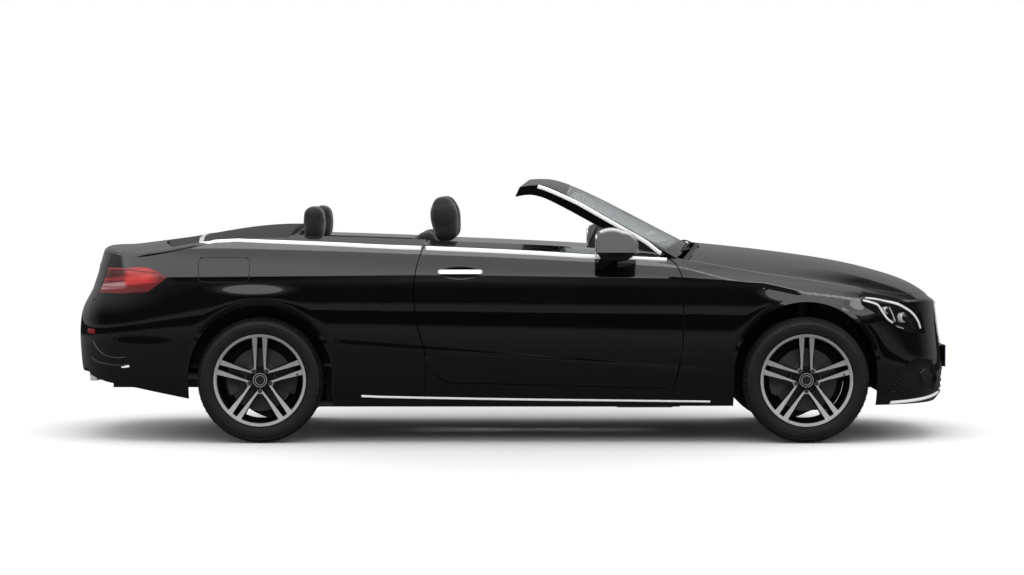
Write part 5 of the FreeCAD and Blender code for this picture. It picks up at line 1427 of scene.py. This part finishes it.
# ---- mirrors, wipers, screen ----
def make_mirrors():
    for label, side in SIDES:
        body, shell = f"door_{label}", (f"mirror_{label}",)
        hits = rays([(-1, side * y, z) for z in np.linspace(0.965, 1.095, 9)
                     for y in np.linspace(0.84, 1.00, 9)], FORWARD, shell)[0]
        hits = [place for place in hits if place.x < 0.56]
        low = Vector([min(p[i] for p in hits) for i in range(3)])
        high = Vector([max(p[i] for p in hits) for i in range(3)])
        centre = (low + high) / 2
        corner = [(centre.y + y, centre.z + z) for y, z in rounded_ring(
            (high.y - low.y) / 2 - 0.004, (high.z - low.z) / 2 - 0.004, 0.5, 40)]
        bm = bmesh.new()
        outline_plate(bm, corner, "X", low.x - 0.0015, 0.004, 0.0008, 2)
        piece(f"mirror_glass_{label}", bm, "mirror", body)
        path = rays([(3, side * y, 1.008) for y in np.linspace(0.855, 1.008, 14)], BACKWARD, shell)
        strip(f"mirror_line_{label}", path, 0.010, 0.0018, body, material="chrome")


def make_wipers():
    """Two arms with blades lying along the foot of the windscreen."""
    screen = ("windscreen_glass", "windscreen_frame", "cowl", "bonnet")
    for label, pivot, tip in (("left", (0.905, 0.60, 2), (0.952, -0.03, 2)),
                              ("right", (0.960, -0.12, 2), (0.885, -0.66, 2))):
        arm, blade = bmesh.new(), bmesh.new()
        pivot = Vector(pivot)
        points, normals = rays([pivot + (Vector(tip) - pivot) * share
                                for share in np.linspace(0, 1, 16)], DOWN, screen, 0.013)
        sweep(arm, points, normals, ((-0.006, -0.003), (-0.004, 0.003), (0.004, 0.003),
                                     (0.006, -0.003)))
        foot = points[0]
        tube(arm, 0.015, foot - normals[0] * 0.020, foot + normals[0] * 0.006, 24)
        under = [p - n * 0.009 + Vector((-0.012, 0, 0)) for p, n in zip(points, normals)]
        sweep(blade, under[3:], normals[3:], ((-0.003, -0.006), (-0.006, 0.004), (0.006, 0.004),
                                              (0.003, -0.006)))
        piece(f"wiper_arm_{label}", arm, "trim")
        piece(f"wiper_blade_{label}", blade, "rubber")


def make_screen_fittings():
    """Inner mirror, sun visors and the header's catches."""
    bm = bmesh.new()
    block(bm, (0.265, -0.125, 1.235), (0.290, 0.125, 1.292), 0.012, 4)
    tube(bm, 0.008, (0.285, 0, 1.275), (0.335, 0, 1.318), 16)
    piece("inner_mirror", bm, "cabin")
    bm = bmesh.new()
    block(bm, (0.2635, -0.117, 1.241), (0.266, 0.117, 1.286), 0.001, 2)
    piece("inner_mirror_glass", bm, "mirror")
    bm = node_copy("windscreen_glass")
    bmesh.ops.bisect_plane(bm, geom=bm.verts[:] + bm.edges[:] + bm.faces[:],
                           plane_co=(0.285, 0, 1.30), plane_no=(1, 0, -0.55), clear_outer=True)
    bm.normal_update()
    bmesh.ops.delete(bm, geom=[f for f in bm.faces if f.normal.z < 0.5], context="FACES")
    bmesh.ops.translate(bm, verts=bm.verts, vec=(0.0006, 0, 0.0009))
    bmesh.ops.solidify(bm, geom=bm.faces[:], thickness=-0.0008)
    piece("screen_shade", bm, "display")
    for label, side in SIDES:
        bm = bmesh.new()
        outline_plate(bm, ((0.118, 1.322), (0.232, 1.272), (0.236, 1.284), (0.122, 1.336)), "Y",
                      side * 0.10, side * 0.34, 0.004, 3)
        piece(f"sun_visor_{label}", bm, "leather")
        bm = bmesh.new()
        block(bm, (0.055, side * 0.395, 1.318), (0.095, side * 0.365, 1.342), 0.004, 3)
        piece(f"header_catch_{label}", bm, "satin")


# ---- seats ----
SEAT_X, SEAT_Y = -0.33, 0.37
FRONT_SEAT_LEAN = math.atan2(0.17, 0.68)
CROSS_SEAM = 0.0022
SWELL_FRAMES = 20


def lean_matrix(x, z, lean):
    """Axes of a leaning part: X outwards to the sitter, Z up along the back."""
    return Matrix.Translation((x, 0, z)) @ Matrix.Rotation(-lean, 4, "Y")


def pair(x0, x1, y0, y1, z0, z1, bevel):
    """The same block on the right and on the left."""
    return (((x0, -y1, z0), (x1, -y0, z1), bevel), ((x0, y0, z0), (x1, y1, z1), bevel))


def cushion_forms():
    """Blocks that each padded piece is blown up from: name, voxel, place, blocks."""
    back = lean_matrix(SEAT_X + 0.085, 0.43, FRONT_SEAT_LEAN)
    head = lean_matrix(SEAT_X - 0.060, 1.075, 0.12)
    rear_back = lean_matrix(-1.109 + 0.075, 0.47, 0.13)
    rear_head = lean_matrix(-1.109 + 0.030, 1.10, 0.02)
    return {
        "seat_cushion": (0.011, Matrix(), (
            ((SEAT_X + 0.030, -0.160, 0.362), (SEAT_X + 0.560, 0.160, 0.440), 0.030),
            *pair(SEAT_X + 0.030, SEAT_X + 0.530, 0.160, 0.232, 0.345, 0.468, 0.028),
            ((SEAT_X + 0.470, -0.190, 0.375), (SEAT_X + 0.575, 0.190, 0.465), 0.032))),
        "seat_back": (0.011, back, (
            ((-0.105, -0.160, 0.020), (-0.012, 0.160, 0.600), 0.030),
            *pair(-0.110, 0.030, 0.155, 0.222, 0.030, 0.480, 0.030),
            ((-0.112, -0.205, 0.430), (-0.008, 0.205, 0.590), 0.032),
            ((-0.112, -0.170, 0.540), (-0.016, 0.170, 0.712), 0.036))),
        "headrest": (0.008, head, (
            ((-0.040, -0.118, 0.020), (0.104, 0.118, 0.182), 0.066),
            ((-0.024, -0.100, 0.085), (0.088, 0.100, 0.203), 0.050),
            ((-0.028, -0.106, -0.036), (0.096, 0.106, 0.125), 0.046))),
        "rear_cushion": (0.012, Matrix(), (
            *pair(-0.935, -0.640, 0.130, 0.555, 0.405, 0.468, 0.028),
            ((-0.930, -0.200, 0.430), (-0.655, 0.200, 0.480), 0.022),
            *pair(-0.705, -0.630, 0.125, 0.560, 0.330, 0.462, 0.030))),
        "rear_back": (0.012, rear_back, (
            *pair(-0.058, 0.058, 0.110, 0.570, 0.000, 0.575, 0.030),
            ((-0.058, -0.150, 0.020), (0.048, 0.150, 0.565), 0.024))),
        "rear_headrest": (0.008, rear_head, (
            ((-0.036, -0.118, -0.050), (0.066, 0.118, 0.126), 0.040),)),
    }


def make_pads():
    """Blows up the covers of all cushions together and gives their meshes by name."""
    scene = bpy.context.scene
    pads = {}
    for name, (voxel, matrix, blocks) in cushion_forms().items():
        bm = bmesh.new()
        for low, high, bevel in blocks:
            pad_block(bm, low, high, matrix, bevel)
        pads[name] = linked(name, mesh_from(bm, name))
        modified(pads[name], "REMESH", mode="VOXEL", voxel_size=voxel)
        modified(pads[name], "SMOOTH", iterations=3 if pads_fine(name) else 8, factor=0.5)
        bake(pads[name])
    rest = {name: coords(obj.data) for name, obj in pads.items()}
    for obj in pads.values():
        cloth = obj.modifiers.new("cover", "CLOTH")
        cloth.settings.use_pressure = True
        cloth.settings.uniform_pressure_force = 4.0
        cloth.settings.effector_weights.gravity = 0.0
        cloth.settings.quality = 4
        cloth.point_cache.frame_start, cloth.point_cache.frame_end = 1, SWELL_FRAMES
    for frame_number in range(1, SWELL_FRAMES + 1):
        scene.frame_set(frame_number)
    for name, obj in pads.items():
        bake(obj)
        moved = coords(obj.data) - rest[name]
        length = np.linalg.norm(moved, axis=1, keepdims=True)
        moved *= np.minimum(1.0, settings().cushion_swell / np.maximum(length, 1e-9))
        obj.data.vertices.foreach_set("co", (rest[name] + moved).ravel())
    scene.frame_set(1)
    for name, obj in pads.items():
        if pads_fine(name):
            modified(obj, "SUBSURF", levels=1, render_levels=1)
            bake(obj)
    return pads


def pads_fine(name):
    return not name.endswith("headrest")


def coords(mesh):
    flat = np.zeros(len(mesh.vertices) * 3)
    mesh.vertices.foreach_get("co", flat)
    return flat.reshape(-1, 3)


def bake(obj):
    """Applies an object's modifiers to its mesh."""
    graph = bpy.context.evaluated_depsgraph_get()
    graph.update()
    made = bpy.data.meshes.new_from_object(obj.evaluated_get(graph), depsgraph=graph)
    old = obj.data
    obj.modifiers.clear()
    obj.data = made
    bpy.data.meshes.remove(old)


def place_pad(pads, kind, name, offset, replaced):
    mesh = pads[kind].data.copy()
    mesh.name = name
    mesh.transform(Matrix.Translation((0, offset, 0)))
    obj = piece(name, mesh, "seat", angle=0)
    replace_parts(obj, replaced)
    return obj


def seam(bm, obj_tree, starts, direction, radius=0.0028):
    """Piping that follows a cushion: rays along a direction from a row of starts."""
    points, normals = [], []
    for start in starts:
        place, normal = obj_tree.ray_cast(Vector(start), Vector(direction))[:2]
        if place is not None:
            points.append(place)
            normals.append(normal if normal.dot(Vector(direction)) < 0 else -normal)
    if len(points) > 3:
        sweep(bm, points, normals, rounded_ring(radius, radius, 1, 8))


def mesh_tree(obj):
    mesh = obj.data
    return BVHTree.FromPolygons([v.co for v in mesh.vertices],
                                [p.vertices for p in mesh.polygons])


def seat_base(offset, side):
    """Frame, side cover with its recliner, and runners under a front seat."""
    bm = bmesh.new()
    block(bm, (SEAT_X + 0.04, offset - 0.225, 0.305), (SEAT_X + 0.53, offset + 0.225, 0.352), 0.012)
    block(bm, (SEAT_X + 0.02, offset + side * 0.200, 0.290),
          (SEAT_X + 0.46, offset + side * 0.246, 0.400), 0.014)
    tube(bm, 0.034, (SEAT_X + 0.055, offset + side * 0.220, 0.415),
         (SEAT_X + 0.055, offset + side * 0.247, 0.415), 32)
    for y in (offset - 0.165, offset + 0.165):
        block(bm, (SEAT_X + 0.06, y - 0.018, 0.2353), (SEAT_X + 0.48, y + 0.018, 0.262), 0.004)
        for x in (SEAT_X + 0.12, SEAT_X + 0.42):
            block(bm, (x - 0.03, y - 0.008, 0.255), (x + 0.03, y + 0.008, 0.312), 0.003)
    return bm


def make_front_seats(pads):
    for label, side in SIDES:
        offset, node_name = side * SEAT_Y, f"seat_{label}"
        cushion = place_pad(pads, "seat_cushion", f"seat_cushion_{label}", offset, node_name)
        back = place_pad(pads, "seat_back", f"seat_back_{label}", offset, node_name)
        place_pad(pads, "headrest", f"headrest_{label}", offset, node_name)
        bm = bmesh.new()
        tree = mesh_tree(back)
        for y in (-0.150, 0.150):
            seam(bm, tree, [(1.0, offset + y, z) for z in np.linspace(0.50, 1.06, 40)], BACKWARD)
        for z in (0.60, 0.72, 0.84, 0.96):
            seam(bm, tree, [(1.0, offset + y, z) for y in np.linspace(-0.146, 0.146, 24)],
                 BACKWARD, CROSS_SEAM)
        tree = mesh_tree(cushion)
        for y in (-0.152, 0.152):
            seam(bm, tree, [(x, offset + y, 2) for x in np.linspace(SEAT_X + 0.10, SEAT_X + 0.545,
                                                                    30)], DOWN)
        for x in (SEAT_X + 0.22, SEAT_X + 0.34, SEAT_X + 0.46):
            seam(bm, tree, [(x, offset + y, 2) for y in np.linspace(-0.148, 0.148, 24)], DOWN,
                 CROSS_SEAM)
        made = [piece(f"seat_piping_{label}", bm, "leather")]
        bm = bmesh.new()
        for y in (-0.054, 0.054):
            tube(bm, 0.0065, (SEAT_X - 0.072, offset + y, 1.02),
                 (SEAT_X - 0.078, offset + y, 1.16), 20)
        made.append(piece(f"headrest_posts_{label}", bm, "chrome"))
        bm = bmesh.new()
        matrix = lean_matrix(SEAT_X + 0.085, 0.43, FRONT_SEAT_LEAN) @ Matrix.Translation(
            (0, offset, 0))
        pad_block(bm, (-0.150, -0.200, 0.020), (-0.104, 0.200, 0.560), matrix, 0.018)
        pad_block(bm, (-0.148, -0.155, 0.500), (-0.106, 0.155, 0.680), matrix, 0.018)
        made.append(piece(f"seat_shell_{label}", bm, "leather"))
        bm = bmesh.new()
        pad_block(bm, (-0.157, -0.150, 0.100), (-0.149, 0.150, 0.330), matrix, 0.003)
        made.append(piece(f"seat_pocket_{label}", bm, "leather"))
        made.append(piece(f"seat_base_{label}", seat_base(offset, side), "cabin"))
        bm = bmesh.new()
        guide = matrix @ Matrix.Translation((-0.060, side * 0.198, 0.612))
        pad_block(bm, (-0.030, -0.006, -0.035), (0.030, 0.006, 0.030), guide, 0.005)
        made.append(piece(f"belt_guide_{label}", bm, "satin"))
        bm = bmesh.new()
        top = guide @ Vector((0, side * 0.008, 0.02))
        low = Vector((SEAT_X + 0.02, offset + side * 0.242, 0.34))
        path = smooth_path([top, top.lerp(low, 0.3) + Vector((-0.02, side * 0.004, 0)),
                            top.lerp(low, 0.7) + Vector((-0.01, side * 0.004, 0)), low], 8)
        sweep(bm, path, [Vector((0, side, 0))] * len(path),
              ((-0.023, -0.0006), (-0.023, 0.0006), (0.023, 0.0006), (0.023, -0.0006)))
        made.append(piece(f"seat_belt_{label}", bm, "roof"))
        for item in made:
            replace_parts(item, node_name)


def make_rear_seat(pads):
    cushion = place_pad(pads, "rear_cushion", "rear_bench_cushion", 0, "rear_seat")
    back = place_pad(pads, "rear_back", "rear_bench_back", 0, "rear_seat")
    for label, side in SIDES:
        place_pad(pads, "rear_headrest", f"rear_headrest_{label}", side * 0.35, "rear_seat")
    piping, posts, trim = bmesh.new(), bmesh.new(), bmesh.new()
    tree = mesh_tree(back)
    for side in (-1, 1):
        for y in (0.17, 0.50):
            seam(piping, tree, [(0, side * y, z) for z in np.linspace(0.52, 1.02, 34)], BACKWARD)
        for z in (0.62, 0.76, 0.90):
            seam(piping, tree, [(0, side * y, z) for y in np.linspace(0.175, 0.495, 24)],
                 BACKWARD, CROSS_SEAM)
    tree = mesh_tree(cushion)
    for side in (-1, 1):
        for y in (0.19, 0.50):
            seam(piping, tree, [(x, side * y, 2) for x in np.linspace(-0.90, -0.66, 20)], DOWN)
        for y in (0.31, 0.39):
            tube(posts, 0.006, (-1.064, side * y, 1.03), (-1.066, side * y, 1.13), 18)
        block(trim, (-1.105, side * 0.585, 0.42), (-0.70, side * 0.556, 0.60), 0.012)
        block(trim, (-0.93, side * 0.545, 0.30), (-0.655, side * 0.150, 0.415), 0.012)
    block(trim, (-0.940, -0.085, 0.458), (-0.700, 0.085, 0.500), 0.014)
    for name, bm, material in (("rear_piping", piping, "leather"),
                               ("rear_headrest_posts", posts, "chrome"),
                               ("rear_seat_base", trim, "leather")):
        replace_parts(piece(name, bm, material), "rear_seat")


# ---- roof cover, cabin ----
# Folds of the roof: rear and front end, underside and top.
ROOF_FOLDS = ((-1.79, -1.20, 0.690, 0.775), (-1.785, -1.195, 0.765, 0.840),
              (-1.770, -1.190, 0.830, 0.895), (-1.70, -1.190, 0.885, 0.945))


def make_roof():
    """Folded cloth roof: a stack of soft folds in its well."""
    bm = bmesh.new()
    for x0, x1, z0, z1 in ROOF_FOLDS:
        block(bm, (x0, -0.560, z0), (x1, 0.560, z1), 0.030, 4)
    obj = linked("roof_folds", mesh_from(bm, "roof_folds"))
    modified(obj, "REMESH", mode="VOXEL", voxel_size=0.016)
    modified(obj, "SMOOTH", iterations=2)
    modified(obj, "SUBSURF", levels=1, render_levels=1)
    bake(obj)
    folds = obj.data
    bpy.data.objects.remove(obj)
    roof = piece("roof_cloth", folds, "roof", angle=0)
    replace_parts(roof, "folded_roof")


def dash_face(y, z):
    return cast((-0.6, y, z), (1, 0, 0), ("dashboard",))


def make_dashboard():
    black, bright, glass_, soft = bmesh.new(), bmesh.new(), bmesh.new(), bmesh.new()
    for y in (-0.52, -0.13, 0.13, 0.56):
        place, normal = dash_face(y, 0.905)
        tube(bright, 0.040, place - normal * 0.004, place + normal * 0.006, 40, 0.037)
        tube(black, 0.033, place, place + normal * 0.0075, 40)
        for k in (-1, 0, 1):
            block(black, place + Vector((-0.012, -0.030, k * 0.014 - 0.0015)),
                  place + Vector((0.0, 0.030, k * 0.014 + 0.0015)))
    for y in (SEAT_Y - 0.075, SEAT_Y + 0.075):
        centre = Vector((0.602, y, 0.955))
        tube(bright, 0.056, centre + Vector((0.03, 0, 0)), centre, 48, 0.055)
        tube(glass_, 0.051, centre, centre - Vector((0.002, 0, 0)), 48)
    place = dash_face(0, 0.955)[0]
    around(glass_, place, (-0.012, -0.095, -0.045), (0.02, 0.095, 0.042), 0.006)
    for z, count in ((0.845, 7), (0.780, 5)):
        for k in range(count):
            place = dash_face((k - (count - 1) / 2) * 0.03, z)[0]
            around(black, place, (-0.006, -0.012, -0.009), (0.004, 0.012, 0.009), 0.003)
    for y in (-0.055, 0.0, 0.055):
        place, normal = dash_face(y, 0.735)
        tube(bright, 0.019, place, place + normal * 0.020, 32, 0.016)
    path = rays([(-0.6, y, 0.865) for y in np.linspace(-0.60, -0.10, 20)], FORWARD, ("dashboard",))
    sweep(bright, *path, strip_section(0.012, 0.003))
    tube(bright, 0.010, (0.33, 0, 0.545), (0.30, 0, 0.645), 24)
    ball(soft, (0.298, 0, 0.665), (0.026, 0.024, 0.032))
    block(soft, (0.22, -0.055, 0.545), (0.39, 0.055, 0.562), 0.008)
    block(soft, (-0.30, -0.074, 0.543), (-0.06, 0.074, 0.588), 0.016)
    for x in (0.02, 0.12):
        tube(bright, 0.038, (x, 0, 0.535), (x, 0, 0.556), 40)
        tube(black, 0.034, (x, 0, 0.540), (x, 0, 0.557), 40)
    piece("dash_vents", black, "gloss")
    piece("dash_bright_parts", bright, "satin")
    piece("dash_displays", glass_, "display")
    piece("console_covers", soft, "leather")


def make_steering():
    """Hub pad, spoke trims and stalks."""
    axis = Vector((-math.cos(math.radians(24)), 0, math.sin(math.radians(24))))
    centre = Vector((0.415, 0.37, 0.955))
    up = Vector((math.sin(math.radians(24)), 0, math.cos(math.radians(24))))
    turn = Matrix((up, Vector((0, 1, 0)), axis)).transposed().to_4x4()
    matrix = Matrix.Translation(centre) @ turn
    bm = bmesh.new()
    pad_block(bm, (-0.062, -0.078, -0.012), (0.058, 0.078, 0.012), matrix, 0.011)
    piece("steering_pad", bm, "cabin", "steering_wheel")
    bm = bmesh.new()
    for low, high in (((-0.014, 0.078, -0.006), (0.014, 0.165, 0.003)),
                      ((-0.014, -0.165, -0.006), (0.014, -0.078, 0.003)),
                      ((-0.165, -0.014, -0.006), (-0.062, 0.014, 0.003))):
        pad_block(bm, low, high, matrix, 0.003)
    piece("steering_trims", bm, "satin", "steering_wheel")
    bm = bmesh.new()
    foot = centre - axis * 0.105
    for side in (-1, 1):
        tube(bm, 0.007, foot + Vector((0, side * 0.025, 0.0)),
             foot + Vector((0.005, side * 0.165, 0.030)), 16, 0.009)
    piece("column_stalks", bm, "trim")


def make_door_trims():
    for label, side in SIDES:
        door = f"door_{label}"
        soft, bright, dark = bmesh.new(), bmesh.new(), bmesh.new()

        def inner(x, z, lift=0.0):
            """Point of the door's inner face and its normal."""
            place, normal = cast((x, 0, z), (0, side, 0), (door,))
            return place + normal * lift, normal

        rest = [inner(x, 0.655 + 0.03 * x) for x in np.linspace(-0.36, 0.46, 20)]
        sweep(soft, *zip(*rest), ((-0.034, -0.004), (-0.036, 0.022), (-0.026, 0.036),
                                  (0.010, 0.042), (0.026, 0.036), (0.030, -0.004)))
        around(soft, inner(0.05, 0.79)[0], (-0.36, -0.007, -0.075), (0.50, 0.007, 0.07), 0.006)
        top = [inner(x, 0.895) for x in np.linspace(-0.36, 0.62, 24)]
        sweep(bright, *zip(*top), strip_section(0.012, 0.004))
        around(bright, inner(0.42, 0.80, 0.010)[0], (-0.055, -0.008, -0.011),
               (0.055, 0.008, 0.011), 0.005)
        place, normal = inner(0.62, 0.48)
        tube(dark, 0.085, place - normal * 0.002, place + normal * 0.006, 48, 0.080)
        tube(bright, 0.089, place - normal * 0.002, place + normal * 0.003, 48)
        for x in (0.28, 0.33, 0.38):
            around(dark, inner(x, 0.690, 0.036)[0], (-0.014, -0.010, -0.004),
                   (0.014, 0.010, 0.006), 0.003)
        around(soft, inner(0.10, 0.36)[0], (-0.36, -0.012, -0.05), (0.40, 0.012, 0.055), 0.010)
        piece(f"door_trim_{label}", soft, "leather", door)
        piece(f"door_bright_{label}", bright, "satin", door)
        piece(f"door_controls_{label}", dark, "gloss", door)


def make_cabin_floor():
    """Mats, pedals and the boot's carpet."""
    mats, metal, boot = bmesh.new(), bmesh.new(), bmesh.new()
    for side in (-1, 1):
        block(mats, (0.24, side * 0.155, 0.2352), (0.86, side * 0.60, 0.247), 0.005)
        block(mats, (-0.62, side * 0.155, 0.2352), (-0.30, side * 0.56, 0.246), 0.005)
    for y, wide, z in ((0.30, 0.022, 0.42), (0.385, 0.032, 0.44), (0.46, 0.032, 0.44)):
        block(metal, (0.880, y - wide, z - 0.045), (0.892, y + wide, z + 0.035), 0.003)
        tube(metal, 0.007, (0.890, y, z + 0.02), (0.985, y, z + 0.14), 14)
    block(boot, (-2.14, -0.47, 0.3952), (-1.16, 0.47, 0.406), 0.004)
    piece("floor_mats", mats, "carpet")
    piece("pedals", metal, "alloy")
    piece("boot_carpet", boot, "carpet")


# Hoses of the engine: route and radius.
HOSES = ((((1.76, 0.10, 0.74), (1.84, 0.02, 0.76), (1.95, -0.05, 0.72), (2.11, -0.10, 0.62)), 0.019),
         (((1.74, -0.12, 0.60), (1.86, -0.20, 0.56), (2.0, -0.22, 0.50), (2.11, -0.22, 0.42)), 0.019),
         (((1.50, 0.22, 0.80), (1.62, 0.33, 0.80), (1.76, 0.30, 0.76), (1.84, 0.24, 0.73)), 0.030))


def make_engine_bay():
    covers, bright, hoses, caps = bmesh.new(), bmesh.new(), bmesh.new(), bmesh.new()
    block(covers, (1.22, -0.23, 0.790), (1.74, 0.23, 0.828), 0.018)
    for y in (-0.15, -0.05, 0.05, 0.15):
        block(covers, (1.26, y - 0.022, 0.822), (1.70, y + 0.022, 0.838), 0.007)
    block(covers, (1.80, 0.06, 0.665), (2.06, 0.40, 0.770), 0.020)
    block(covers, (1.16, -0.47, 0.640), (1.36, -0.275, 0.815), 0.010)
    block(bright, (1.28, -0.235, 0.800), (1.68, -0.228, 0.822), 0.003)
    for x, y in ((1.18, -0.44), (1.18, -0.31)):
        tube(bright, 0.010, (x, y, 0.812), (x, y, 0.830), 20)
    for x, y, z, size in ((1.90, -0.36, 0.74, 0.075), (1.20, 0.40, 0.76, 0.065)):
        block(caps, (x - size, y - size * 0.8, z - 0.10), (x + size, y + size * 0.8, z), 0.02)
        tube(covers, 0.026, (x, y, z - 0.004), (x, y, z + 0.022), 28)
    for line, radius in HOSES:
        path = smooth_path(line, 8)
        sweep(hoses, path, [Vector((0, 0, 1))] * len(path), rounded_ring(radius, radius, 1, 16))
    piece("engine_covers", covers, "cabin")
    piece("engine_bright_parts", bright, "satin")
    piece("engine_hoses", hoses, "rubber")
    piece("engine_bottles", caps, "white")


def make_exhaust_tip():
    """Bright rim round the flat oval mouth of the exhaust."""
    bm = bmesh.new()
    middle = Vector((-2.236, -0.520, 0.337))
    ring = []
    for turn in range(40):
        angle = math.tau * turn / 40
        c, s = math.cos(angle), math.sin(angle)
        spread = math.copysign(0.028, c) if abs(c) > 0.02 else 0
        ring.append(middle + Vector((0, spread + 0.0305 * c, 0.0305 * s)))
    sweep(bm, ring, [(p - middle).normalized() for p in ring],
          ((-0.030, -0.001), (-0.030, 0.0015), (0.004, 0.0025), (0.006, 0.001), (0.004, -0.001)),
          closed=True)
    piece("exhaust_trim", bm, "chrome")


# ---- operators ----
class CarStage(bpy.types.Operator):
    """Sets up the camera, the floor and the soft light"""
    bl_idname = "car.stage"
    bl_label = "Stage"

    def execute(self, context):
        make_stage()
        return {"FINISHED"}


class CarFrameFinish(bpy.types.Operator):
    """Makes the finishes and puts them on the car's own parts"""
    bl_idname = "car.frame_finish"
    bl_label = "Body Finish"

    def execute(self, context):
        make_materials()
        dress_frame()
        make_body_form()
        return {"FINISHED"}


class CarTrim(bpy.types.Operator):
    """Adds the bright strips of belt, pillar and sill"""
    bl_idname = "car.trim"
    bl_label = "Bright Trim"

    def execute(self, context):
        make_trim()
        make_sill_skins()
        return {"FINISHED"}


class CarNose(bpy.types.Operator):
    """Adds grille, plates, intake bars and fog lamps"""
    bl_idname = "car.nose"
    bl_label = "Grille and Plates"

    def execute(self, context):
        make_grille()
        make_plates()
        make_front_details()
        return {"FINISHED"}


class CarLamps(bpy.types.Operator):
    """Adds the inner parts of head and tail lamps"""
    bl_idname = "car.lamps"
    bl_label = "Lamps"

    def execute(self, context):
        make_headlamps()
        make_tail_details()
        return {"FINISHED"}


class CarWheels(bpy.types.Operator):
    """Adds tyres, caps, bolts and brakes"""
    bl_idname = "car.wheels"
    bl_label = "Wheels"

    def execute(self, context):
        make_wheels()
        make_brakes()
        return {"FINISHED"}


class CarOutside(bpy.types.Operator):
    """Adds mirror glasses, wipers, screen fittings and the exhaust trim"""
    bl_idname = "car.outside"
    bl_label = "Mirrors and Wipers"

    def execute(self, context):
        make_mirrors()
        make_wipers()
        make_screen_fittings()
        make_exhaust_tip()
        return {"FINISHED"}


class CarSeats(bpy.types.Operator):
    """Blows up the cushions and builds all four seats"""
    bl_idname = "car.seats"
    bl_label = "Seats"

    def execute(self, context):
        pads = make_pads()
        make_front_seats(pads)
        make_rear_seat(pads)
        for obj in pads.values():
            bpy.data.objects.remove(obj)
        return {"FINISHED"}


class CarRoof(bpy.types.Operator):
    """Adds the folded cloth roof in its well"""
    bl_idname = "car.roof"
    bl_label = "Folded Roof"

    def execute(self, context):
        make_roof()
        return {"FINISHED"}


class CarCabin(bpy.types.Operator):
    """Adds dashboard, steering, door and floor trims"""
    bl_idname = "car.cabin"
    bl_label = "Cabin"

    def execute(self, context):
        make_dashboard()
        make_steering()
        make_door_trims()
        make_cabin_floor()
        return {"FINISHED"}


class CarEngineBay(bpy.types.Operator):
    """Adds covers, bottles and hoses under the bonnet"""
    bl_idname = "car.engine_bay"
    bl_label = "Engine Bay"

    def execute(self, context):
        make_engine_bay()
        return {"FINISHED"}


STEPS = (CarFrameFinish, CarStage, CarTrim, CarNose, CarLamps, CarWheels, CarOutside, CarSeats,
         CarRoof, CarCabin, CarEngineBay)


class CarPanel(bpy.types.Panel):
    """Lists the car's pieces and finishes"""
    bl_idname = "CAR_PT_pieces"
    bl_label = "Open Car"
    bl_space_type = "VIEW_3D"
    bl_region_type = "UI"
    bl_category = "Open Car"

    def draw(self, context):
        for name in CarFinish.__annotations__:
            self.layout.prop(context.scene.car_finish, name)
        for step in STEPS:
            self.layout.operator(step.bl_idname)


def register():
    for made in (CarFinish, *STEPS, CarPanel):
        bpy.utils.register_class(made)
    bpy.types.Scene.car_finish = bpy.props.PointerProperty(type=CarFinish)


def unregister():
    del bpy.types.Scene.car_finish
    for made in (CarPanel, *reversed(STEPS), CarFinish):
        bpy.utils.unregister_class(made)


def main():
    register()
    for step in STEPS:
        group, name = step.bl_idname.split(".")
        getattr(getattr(bpy.ops, group), name)()


if __name__ == "__main__":
    main()
